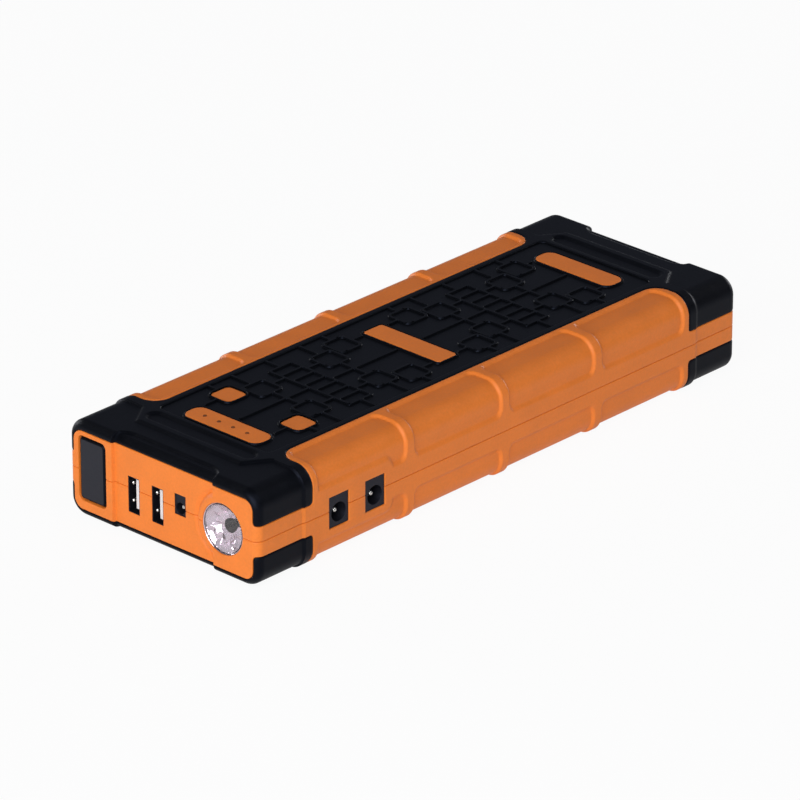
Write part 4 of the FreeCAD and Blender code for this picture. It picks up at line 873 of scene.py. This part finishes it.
def grained(name, colour, grain, rise, roughness, values=None, tint=0.06):
    """A surface with an even grain of pits in mm, and a little mottled in colour and in gloss."""
    material, tree, shader = new_material(name, {"Base Color": colour, **(values or {})})
    place = add(tree, "TexCoord").outputs["Object"]
    pits = add(tree, "TexVoronoi", {"feature": "SMOOTH_F1", "Scale": 1 / (grain * MM)}, {"Vector": place})
    # Clouds and specks, which together run from about 0.7 to 1.3
    cloud = add(tree, "TexNoise", {"Scale": 1 / (CLOUD_MM * MM), "Detail": 3.0}, {"Vector": place})
    speck_size = grain * SPECKS_PER_GRAIN * MM
    speck = add(tree, "TexNoise", {"Scale": 1 / speck_size, "Detail": 2.0}, {"Vector": place})
    both = add(tree, "Math", {"operation": "ADD"}, {0: cloud, 1: speck})
    run = {"From Min": 0.7, "From Max": 1.3}
    shade = add(tree, "MapRange", {**run, "To Min": 1 - tint, "To Max": 1 + tint}, {"Value": both})
    tinted = add(tree, "VectorMath", {"operation": "SCALE", 0: colour[:3]}, {"Scale": shade})
    low, high = around(roughness, GLOSS_SPREAD)
    gloss = add(tree, "MapRange", {**run, "To Min": low, "To Max": high}, {"Value": both})
    bump = add(tree, "Bump", {"Strength": 1.0, "Distance": rise * MM}, {"Height": pits})
    link(tree, shader, {"Base Color": tinted, "Roughness": gloss, "Normal": bump})
    return material


def rippled(name, values, ripple, detail, gloss, strength, rise):
    """A smooth surface whose gloss and height stray in ripples, so long in mm along X, Y and Z."""
    material, tree, shader = new_material(name, values)
    place = add(tree, "TexCoord").outputs["Object"]
    stretch = [1 / (length * MM) for length in ripple]
    scaled = add(tree, "VectorMath", {"operation": "MULTIPLY", 1: stretch}, {0: place})
    noise = add(tree, "TexNoise", {"Scale": 1.0, "Detail": detail}, {"Vector": scaled})
    polish = add(tree, "MapRange", {"To Min": gloss[0], "To Max": gloss[1]}, {"Value": noise})
    bump = add(tree, "Bump", {"Strength": strength, "Distance": rise * MM}, {"Height": noise})
    link(tree, shader, {"Roughness": polish, "Normal": bump})
    return material


def brushed(name, hexa, roughness):
    """A metal drawn or brushed along one way: fine streaks 4 mm long and 0.12 mm wide."""
    values = {"Base Color": linear(hexa), "Metallic": 1.0}
    gloss = (roughness - 0.08, roughness + 0.1)
    streak = (0.12, 4.0, 0.12)
    return rippled(name, values, ripple=streak, detail=3.0, gloss=gloss, strength=0.4, rise=0.01)


def moulded_abs():
    # ABS from a spark-eroded mould: matt orange with a fine even grain and soft highlights.
    # The grain is about 0.15 mm on such a case and is drawn at 0.5 mm so that it shows.
    return grained("moulded_abs", chosen_colour("case"), grain=0.5, rise=0.012, roughness=0.44,
                   values={"IOR": 1.46, "Specular IOR Level": 0.42})


def overmoulded_elastomer():
    # Thermoplastic elastomer moulded over the case: near black, satin, with soft wide highlights.
    values = {"IOR": 1.46, "Specular IOR Level": 0.15, "Specular Tint": linear("C6D4FF")}
    return grained("overmoulded_elastomer", chosen_colour("skin"), grain=0.45, rise=0.008, roughness=0.4,
                   values=values, tint=0.15)


def moulded_rubber():
    # Soft rubber flap: dark slate, duller and lighter than the skin. Only the flap's middle has it; its
    # border takes the black skin finish as painted shade on its rounded edge.
    return grained("moulded_rubber", chosen_colour("cover"), grain=0.6, rise=0.010, roughness=0.6,
                   values={"IOR": 1.5, "Specular IOR Level": 0.4}, tint=0.12)


def moulded_nylon():
    # Glass-filled nylon of the sockets: black, satin, slightly rough.
    values = {"IOR": 1.5, "Specular IOR Level": 0.35, "Specular Tint": linear("D4DCFF")}
    return grained("moulded_nylon", linear("121217"), grain=0.5, rise=0.008, roughness=0.45,
                   values=values, tint=0.12)


def white_nylon():
    # White nylon of the contact carriers and lamp chips: smooth with a soft shine.
    return grained("white_nylon", linear("DCD6D5"), grain=0.6, rise=0.004, roughness=0.3,
                   values={"IOR": 1.5}, tint=0.02)


def blue_nylon():
    # Blue nylon of the jump socket, hidden behind its flap: satin, faintly mottled.
    return grained("blue_nylon", linear("27438F"), grain=0.5, rise=0.008, roughness=0.4,
                   values={"IOR": 1.5}, tint=0.08)


def clear_polycarbonate():
    # Polished clear polycarbonate lens: see-through, with sharp reflections that waver a little.
    values = {"Base Color": linear("FBFBFF"), "IOR": 1.58, "Transmission Weight": 1.0}
    return rippled("clear_polycarbonate", values, ripple=(3.0, 3.0, 3.0), detail=1.0, gloss=(0.0, 0.03),
                   strength=0.3, rise=0.01)


def smoked_polycarbonate():
    # Smoked light pipe: brown and dark while its light is off, half matt at its ends.
    return grained("smoked_polycarbonate", linear("7A4420"), grain=0.8, rise=0.004, roughness=0.5,
                   values={"IOR": 1.58, "Specular IOR Level": 0.2}, tint=0.1)


def nickel_plate():
    # Nickel-plated pressed steel: bright, faintly drawn along the pressing.
    return brushed("nickel_plate", "D9D8D4", 0.24)


def gold_plate():
    # Gold flash over brass contacts: warm yellow and bright, with fine draw marks.
    return brushed("gold_plate", "E3B45C", 0.25)


def rolled_copper():
    # Rolled copper links between the cells: reddish, satin, with the marks of rolling.
    return brushed("rolled_copper", "D08A5E", 0.32)


def anodised_aluminium():
    # Anodised aluminium lamp board: pale grey with a satin face.
    return brushed("anodised_aluminium", "D5D6D8", 0.35)


def metallised_plastic():
    # Vacuum-metallised reflector: a mirror skin on a faceted cup, with a faint violet cast.
    values = {"Base Color": linear("E6D8DF"), "Metallic": 0.95}
    return rippled("metallised_plastic", values, ripple=(2.2, 2.2, 2.2), detail=1.0, gloss=(0.03, 0.14),
                   strength=1.0, rise=0.4)


def solder_mask():
    # Green solder mask over glass laminate: glossy, faintly mottled by the weave under it.
    return grained("solder_mask", linear("1E5A3A"), grain=0.7, rise=0.006, roughness=0.3,
                   values={"IOR": 1.5}, tint=0.1)


def sintered_ferrite():
    # Sintered ferrite of the inductor: dark grey, dull.
    return grained("sintered_ferrite", linear("2E2D2F"), grain=0.5, rise=0.02, roughness=0.65,
                   tint=0.15)


def aluminium_pouch():
    # Aluminium laminate pouch of the cells: pale, crinkled.
    return grained("aluminium_pouch", linear("B9BCC0"), grain=3.0, rise=0.15, roughness=0.35,
                   values={"Metallic": 0.9}, tint=0.04)


def foam_tape():
    # Grey foam strips between the cells: open, very dull.
    return grained("foam_tape", linear("4C4E52"), grain=0.8, rise=0.05, roughness=0.9, tint=0.2)


def red_silicone():
    # Silicone sheath of the plus lead: smooth, soft red, half matt.
    return grained("red_silicone", linear("A8231B"), grain=0.8, rise=0.004, roughness=0.45, tint=0.05)


def black_silicone():
    # Silicone sheath of the minus lead: the same in black.
    return grained("black_silicone", linear("1A1A1B"), grain=0.8, rise=0.004, roughness=0.45, tint=0.1)


FINISHES = {
    "orange_plastic": moulded_abs,
    "black_skin": overmoulded_elastomer,
    "black_rubber": moulded_rubber,
    "black_plastic": moulded_nylon,
    "white_plastic": white_nylon,
    "blue_plastic": blue_nylon,
    "clear_plastic": clear_polycarbonate,
    "bright_steel": nickel_plate,
    "gold_contact": gold_plate,
    "copper_strip": rolled_copper,
    "bright_reflector": metallised_plastic,
    "lamp_aluminium": anodised_aluminium,
    "green_laminate": solder_mask,
    "dark_ferrite": sintered_ferrite,
    "cell_foil": aluminium_pouch,
    "grey_foam": foam_tape,
    "red_sheath": red_silicone,
    "black_sheath": black_silicone,
}


def finish_for(slot):
    """The finish of a record slot, made the first time it is asked for."""
    known = FINISHES[slot].__name__
    return bpy.data.materials.get(known) or FINISHES[slot]()


def refinished(name, edge_mm, finish=None):
    """Gives a CAD piece its finish and eases its edges; its own mesh stays as it is."""
    node = NODES[name]
    slot = node.data.materials[0].name.split(".")[0]
    node.data.materials.clear()
    node.data.materials.append(finish or finish_for(slot))
    weld = node.modifiers.new("weld", "WELD")
    weld.merge_threshold = WELD_REACH * MM
    flatten = node.modifiers.new("flatten", "DECIMATE")
    flatten.decimate_type = "DISSOLVE"
    flatten.angle_limit = math.radians(FLAT_ANGLE)
    bevel = node.modifiers.new("eased_edges", "BEVEL")
    bevel.width = edge_mm * MM
    bevel.segments = EDGE_SEGMENTS
    bevel.limit_method = "ANGLE"
    bevel.angle_limit = math.radians(EDGE_ANGLE)
    bevel.use_clamp_overlap = True


class PackSizes(bpy.types.PropertyGroup):
    """Sizes that a user may change."""

    skin_proud: bpy.props.FloatProperty(
        name="Skin height", description="How far the skin stands over the case",
        default=0.05 * MM, min=0, unit="LENGTH", subtype="DISTANCE")
    lip_radius: bpy.props.FloatProperty(
        name="Skin edge", description="Width of the rounding along the edge of the skin",
        default=0.9 * MM, min=0.2 * MM, unit="LENGTH", subtype="DISTANCE")
    panel_inset: bpy.props.FloatProperty(
        name="Panel depth", description="How deep the side panels lie between the ribs",
        default=0.9 * MM, min=0, unit="LENGTH", subtype="DISTANCE")
    cell: bpy.props.FloatProperty(
        name="Mesh cell", description="Size of a mesh cell where the shape turns",
        default=0.55 * MM, min=0.3 * MM, unit="LENGTH", subtype="DISTANCE")


class PackColours(bpy.types.PropertyGroup):
    """Colours that a user may change."""

    case: bpy.props.FloatVectorProperty(
        name="Case", description="Colour of the moulded case and keys",
        default=linear("E67C2C")[:3], min=0, max=1, subtype="COLOR")
    skin: bpy.props.FloatVectorProperty(
        name="Skin", description="Colour of the grip skin",
        default=linear("07080B")[:3], min=0, max=1, subtype="COLOR")
    cover: bpy.props.FloatVectorProperty(
        name="Flap", description="Colour of the rubber flap over the jump socket",
        default=linear("181923")[:3], min=0, max=1, subtype="COLOR")


class PACK_OT_stage(bpy.types.Operator):
    """Add the floor, the soft lamps and the camera"""

    bl_idname = "pack.stage"
    bl_label = "Stage"

    def execute(self, context):
        make_floor()
        make_world(context.scene)
        for name, values in LAMPS.items():
            softbox(name, *values)
        make_camera(context.scene)
        context.scene.view_settings.view_transform = "Standard"
        return {"FINISHED"}


def make_floor():
    """A wide pale floor that looks white and keeps the pack's shadow."""
    mesh = bpy.data.meshes.new("floor")
    corners = [(x * FLOOR_HALF, y * FLOOR_HALF, 0) for x, y in ((-1, -1), (1, -1), (1, 1), (-1, 1))]
    mesh.from_pydata(corners, [], [(0, 1, 2, 3)])
    floor = bpy.data.objects.new("floor", mesh)
    bpy.context.scene.collection.objects.link(floor)
    material, tree, shader = new_material("matt_paper", {"Base Color": linear("EDEDED"), "Roughness": 0.9})
    glow = add(tree, "Emission", {"Color": linear("FFFFFF"), "Strength": 1.0})
    ray = add(tree, "LightPath").outputs
    # Gloss and the lamp's lens show the white floor more weakly, or the black skin would look grey
    sources = {0: ray["Is Glossy Ray"], 1: ray["Is Transmission Ray"]}
    gloss = add(tree, "Math", {"operation": "MAXIMUM"}, sources)
    gloss = add(tree, "Math", {"operation": "MULTIPLY", 1: FLOOR_IN_GLOSS}, {0: gloss})
    seen = add(tree, "Math", {"operation": "MAXIMUM"}, {0: ray["Is Camera Ray"], 1: gloss})
    # The lit table also sends a little light up onto the pack's lower sides
    lit = add(tree, "Math", {"operation": "MULTIPLY", 1: FLOOR_ON_SIDES}, {0: ray["Is Diffuse Ray"]})
    seen = add(tree, "Math", {"operation": "MAXIMUM"}, {0: seen, 1: lit})
    share = add(tree, "Math", {"operation": "MULTIPLY", 1: FLOOR_WHITE}, {0: seen})
    mix = add(tree, "MixShader", sources={0: share, 1: shader, 2: glow})
    link(tree, tree.nodes["Material Output"], {"Surface": mix})
    mesh.materials.append(material)


def make_world(scene):
    """A dim even room that looks white to the camera."""
    world = bpy.data.worlds.new("studio")
    world.use_nodes = True
    tree = world.node_tree
    room = tree.nodes["Background"]
    room.inputs["Color"].default_value = linear("E8EDFA")
    room.inputs["Strength"].default_value = ROOM_STRENGTH
    white = add(tree, "Background", {"Color": linear("FFFFFF"), "Strength": 1.0})
    ray = add(tree, "LightPath").outputs
    # Through the lamp's lens the reflector shows a lighter room, as a clear part on a white table does
    lens = add(tree, "Math", {"operation": "MULTIPLY", 1: ROOM_IN_LENS}, {0: ray["Is Transmission Ray"]})
    seen = add(tree, "Math", {"operation": "MAXIMUM"}, {0: ray["Is Camera Ray"], 1: lens})
    mix = add(tree, "MixShader", sources={0: seen, 1: room, 2: white})
    link(tree, tree.nodes["World Output"], {"Surface": mix})
    scene.world = world


def direction(azimuth, elevation):
    """The way from the pack towards a lamp or camera. Azimuth 0 is in front of the ports."""
    a, e = math.radians(azimuth), math.radians(elevation)
    return Vector((math.sin(a) * math.cos(e), -math.cos(a) * math.cos(e), math.sin(e)))


def softbox(name, azimuth, elevation, distance, width, brightness, hexa):
    """A square soft lamp. Brightness 1 shows a white surface that faces it as white."""
    lamp = bpy.data.lights.new(name, "AREA")
    lamp.shape = "SQUARE"
    lamp.size = width
    lamp.energy = brightness * math.pi**2 * distance**2
    lamp.color = linear(hexa)[:3]
    made = bpy.data.objects.new(name, lamp)
    back = direction(azimuth, elevation)
    made.location = back * distance
    made.rotation_euler = back.to_track_quat("Z", "Y").to_euler()
    bpy.context.scene.collection.objects.link(made)


def make_camera(scene):
    """The camera at the photograph's angle, distance and framing."""
    camera = bpy.data.cameras.new("camera")
    camera.sensor_width = CAMERA_SENSOR
    camera.lens = CAMERA_LENS
    camera.shift_x, camera.shift_y = CAMERA_SHIFT
    camera.clip_end = CAMERA_REACH
    made = bpy.data.objects.new("camera", camera)
    back = direction(CAMERA_AZIMUTH, CAMERA_ELEVATION)
    right = Vector((-back.y, back.x, 0)).normalized()
    turn = Matrix((right, back.cross(right), back)).transposed()
    place = Vector(CAMERA_TARGET) * MM + back * CAMERA_DISTANCE * MM
    made.matrix_world = Matrix.Translation(place) @ turn.to_4x4()
    scene.collection.objects.link(made)
    scene.camera = made


class PACK_OT_shells(bpy.types.Operator):
    """Build the case halves and their grip skins, with the deck and its lands"""

    bl_idname = "pack.shells"
    bl_label = "Shells"

    def execute(self, context):
        sheets = shell_sheets()
        lights = [(LIGHT_PITCH * (k - (LIGHT_COUNT - 1) / 2), LIGHT_Y) for k in range(LIGHT_COUNT)]
        lands = [
            land_sheet(PLATE_X, PLATE_Y, PLATE_RADIUS),
            land_sheet(METER_X, METER_Y, LAND_RADIUS, lights),
            land_sheet(PLATE_X, BAR_Y, LAND_RADIUS),
        ]
        cups = [bore_cup(x, y) for x, y in BORES]
        upper = merged(sheets["upper_case"], *lands)
        lower = merged(sheets["lower_case"], *cups)
        grip = merged(sheets["upper_skin"], deck_sheet())
        mesh_object("case_top", *upper, "orange_plastic", ["upper_case"])
        mesh_object("case_base", *lower, "orange_plastic", ["lower_case"])
        mesh_object("grip_top", *grip, "black_skin", ["upper_skin"])
        mesh_object("grip_base", *sheets["lower_skin"], "black_skin", ["lower_skin"])
        return {"FINISHED"}


def bore_cup(x, y):
    """The wall and floor of one screw counterbore."""
    profile = ((BORE_RADIUS, -BORE_TOP), (BORE_RADIUS, -BORE_DEPTH), (SCREW_RADIUS, -BORE_DEPTH))
    points, faces = lofted([circle(0, 0, radius, rise, BORE_COUNT) for radius, rise in profile], flip=True)
    # The rings lie across Y and are stood up round Z over the bore's middle
    return np.stack([points[:, 0] + x, points[:, 2] + y, -points[:, 1]], -1), faces


class PACK_OT_keys(bpy.types.Operator):
    """Build the two square keys"""

    bl_idname = "pack.keys"
    bl_label = "Keys"

    def execute(self, context):
        for side, node in zip(SIDES, ("power_button", "lamp_button")):
            points, faces = land_sheet(around(side * KEY_X, KEY_HALF), around(KEY_Y, KEY_HALF), KEY_RADIUS)
            points[:, 2] -= KEY_SINK
            mesh_object(node.replace("button", "key"), points, faces, "orange_plastic", [node], body=node)
        return {"FINISHED"}


class PACK_OT_lamp(bpy.types.Operator):
    """Build the lamp's lens, rim, faceted reflector and dark neck"""

    bl_idname = "pack.lamp"
    bl_label = "Lamp"

    def execute(self, context):
        lens = lofted([lamp_ring(radius, depth) for radius, depth in LENS_PROFILE], flip=True)
        mesh_object("lamp_window", *lens, "clear_plastic", ["lamp_lens"], sharp=20)
        rim = lofted([lamp_ring(radius, depth) for radius, depth in RIM_PROFILE])
        mesh_object("lamp_rim", *rim, "bright_reflector")
        mesh_object("lamp_cup", *lamp_cup(), "bright_reflector", ["lamp_reflector"], sharp=1)
        neck = [lamp_ring(radius, depth, CUP_FACETS, CUP_RINGS / 2) for radius, depth in NECK_PROFILE]
        mesh_object("lamp_neck", *lofted(neck), "black_plastic")
        for name in ("lamp_board", "lamp_emitter"):
            refinished(name, LAMP_EDGE)
        return {"FINISHED"}


def lamp_ring(radius, depth, count=ROUND_COUNT, turn=0.0):
    """A ring round the lamp's middle, so deep behind the end of the pack."""
    return circle(LAMP_X, LAMP_Z, radius, depth - HALF_LENGTH, count, turn)


def lamp_cup():
    """The reflector: a shallow bowl of small flat triangles in staggered rings."""
    rings = []
    for k in range(CUP_RINGS + 1):
        radius = CUP_MOUTH + (CUP_BASE - CUP_MOUTH) * k / CUP_RINGS
        share = (radius**2 - CUP_BASE**2) / (CUP_MOUTH**2 - CUP_BASE**2)
        ring = lamp_ring(radius, CUP_FRONT + CUP_DEPTH * (1 - share), CUP_FACETS, k / 2)
        # The facets tilt in one of four ways, in an order that looks uneven, and so glint one by one
        tilts = [CUP_TILT * ((i * 7 + k * 5) % 4 - 1.5) * (0 < k < CUP_RINGS) for i in range(CUP_FACETS)]
        rings.append([(x, y + tilt, z) for (x, y, z), tilt in zip(ring, tilts)])
    points, faces = lofted(rings)
    return points, [half for a, b, c, d in faces for half in ([a, b, d], [b, c, d])]


class PACK_OT_flap(bpy.types.Operator):
    """Build the rubber flap over the jump socket"""

    bl_idname = "pack.flap"
    bl_label = "Flap"

    def execute(self, context):
        low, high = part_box("socket_cover")
        span_x = (low.x / MM, high.x / MM)
        span_z = (low.z / MM, high.z / MM)

        def inside(p):
            return -rounded_span(p[:, 0], p[:, 1], span_x, span_z, FLAP_RADIUS)

        stations = [graded(span, [span], cell, cell) for span, cell in zip((span_x, span_z), FLAP_CELLS)]
        points, faces = flat_lattice(*stations)
        points, faces, _ = cut(points, faces, inside)
        points, faces = scored(points, faces, inside, FLAP_LINES)
        points, faces = compact(points, faces)
        # A thin flange fills the gap in the case, and the flap stands on it with rounded edges
        reach = inside(points)
        sunk = FLAP_SINK + FLANGE_SINK * (1 - ramp(reach, *FLANGE_SLOPE))
        sunk = sunk + ease(reach - FLANGE_WIDTH, *FLAP_ROUND)
        placed = np.stack([points[:, 0], sunk - HALF_LENGTH, points[:, 1]], -1)
        # The duller middle is a piece of its own, and the border round it takes the darker black skin
        # finish as painted shade on its rounded edge
        depth = reach.tolist()
        middle, shaded_border = [], []
        for face in faces:
            (middle if min(depth[v] for v in face) > FLAP_BORDER - BORDER_SLACK else shaded_border).append(face)
        mesh_object("flap_face", *compact(placed, middle), "black_rubber", body="socket_cover")
        shaded_border = walled(placed, FORWARD, shaded_border, FLAP_DEPTH)
        mesh_object("jump_flap", *compact(*shaded_border), "black_skin", ["socket_cover"], body="socket_cover")
        refinished("cover_tether", SOCKET_EDGE)
        return {"FINISHED"}


class PACK_OT_sockets(bpy.types.Operator):
    """Finish the ports, the side outlets, the lights and everything inside"""

    bl_idname = "pack.sockets"
    bl_label = "Sockets and inner pieces"

    def execute(self, context):
        for number, middle in enumerate(USB_MIDDLES, 1):
            make_usb(middle, number)
        make_lining("charge_bezel", around(CHARGE_MIDDLE, CHARGE_HALF), CHARGE_Z, CHARGE_RINGS)
        for name in ("outlet_pin_1", "outlet_pin_2"):
            make_pin(name)
        # What a new piece stands for is hidden, and what is finished already has its modifiers
        for name in sorted(NODES):
            if NODES[name].hide_render or NODES[name].modifiers:
                continue
            finish = smoked_polycarbonate() if name == "light_pipe" else None
            edge = SOCKET_EDGE if "socket" in name or "outlet" in name else INNER_EDGE
            refinished(name, edge, finish)
        return {"FINISHED"}


def port_loops(span_x, span_z, radius, rings):
    """Rounded rectangles one behind the other, measured from the recessed end face."""
    face = RECESS_DEPTH - HALF_LENGTH
    return [frame_loop(span_x, span_z, radius, face + back, inset) for inset, back in rings]


def make_lining(name, span_x, span_z, rings, cap=False):
    """The black edge and lining of an opening in the end face. In a USB socket the lining is a closed
    black box, painted shade over the inside of its metal shell.
    """
    loops = port_loops(span_x, span_z, LINING_RADIUS, [*LINING_LIP, *rings])
    mesh_object(name, *lofted(loops, cap=cap), "black_plastic")


def make_usb(middle, number):
    """A closed black box inside one USB socket as painted shade, its blade and the two springs on its
    wall.
    """
    span = around(middle, USB_HALF)
    # The black box stands in for the shade inside the socket's metal shell
    make_lining(f"usb_shade_box_{number}", span, USB_Z, USB_RINGS, cap=True)
    blade_x = (span[1] - BLADE_OFF_WALL - BLADE_THICK, span[1] - BLADE_OFF_WALL)
    blade = lofted(port_loops(blade_x, BLADE_Z, BLADE_RADIUS, BLADE_RINGS), cap=True)
    mesh_object(f"usb_blade_{number}", *blade, "white_plastic", [f"usb_tongue_{number}"])
    wall = span[0] + USB_SHADE_INSET
    dome = [(SPRING_RADIUS * math.cos(a), wall + SPRING_RADIUS * SPRING_FLATNESS * math.sin(a))
            for a in SPRING_ANGLES]
    spring_y = RECESS_DEPTH - HALF_LENGTH + SPRING_BACK
    spring_zs = around(sum(USB_Z) / 2, SPRING_RISE)
    springs = [lofted_along_x(dome, spring_y, z, SPRING_COUNT) for z in spring_zs]
    mesh_object(f"usb_springs_{number}", *merged(*springs), "bright_steel")


def make_pin(name):
    """The round-tipped pin of one side outlet."""
    low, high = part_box(name)
    radius = (high.z - low.z) / 2 / MM
    middle_y, middle_z = (low.y + high.y) / 2 / MM, (low.z + high.z) / 2 / MM
    tip = [(radius * math.cos(a), high.x / MM - radius * (1 - math.sin(a))) for a in PIN_ANGLES]
    pin = lofted_along_x([(radius, low.x / MM), *tip], middle_y, middle_z, PIN_COUNT)
    mesh_object(name.replace("pin", "tip"), *pin, "bright_steel", [name])


class PACK_PT_panel(bpy.types.Panel):
    """Shows the pack's sizes, colours and build steps in the sidebar"""

    bl_idname = "PACK_PT_panel"
    bl_label = "Starter pack"
    bl_space_type = "VIEW_3D"
    bl_region_type = "UI"
    bl_category = "Starter pack"

    def draw(self, context):
        for group in (context.scene.pack_sizes, context.scene.pack_colours):
            for name in group.bl_rna.properties.keys():
                if name not in ("rna_type", "name"):
                    self.layout.prop(group, name)
        for operator in OPERATORS:
            self.layout.operator(operator.bl_idname)


OPERATORS = (PACK_OT_stage, PACK_OT_shells, PACK_OT_keys, PACK_OT_lamp, PACK_OT_flap, PACK_OT_sockets)
CLASSES = (PackSizes, PackColours, *OPERATORS, PACK_PT_panel)


def register():
    for kind in CLASSES:
        bpy.utils.register_class(kind)
    bpy.types.Scene.pack_sizes = bpy.props.PointerProperty(type=PackSizes)
    bpy.types.Scene.pack_colours = bpy.props.PointerProperty(type=PackColours)


def unregister():
    del bpy.types.Scene.pack_colours
    del bpy.types.Scene.pack_sizes
    for kind in reversed(CLASSES):
        bpy.utils.unregister_class(kind)


def main():
    register()
    bpy.ops.pack.stage()
    bpy.ops.pack.shells()
    bpy.ops.pack.keys()
    bpy.ops.pack.lamp()
    bpy.ops.pack.flap()
    bpy.ops.pack.sockets()


if __name__ == "__main__":
    main()
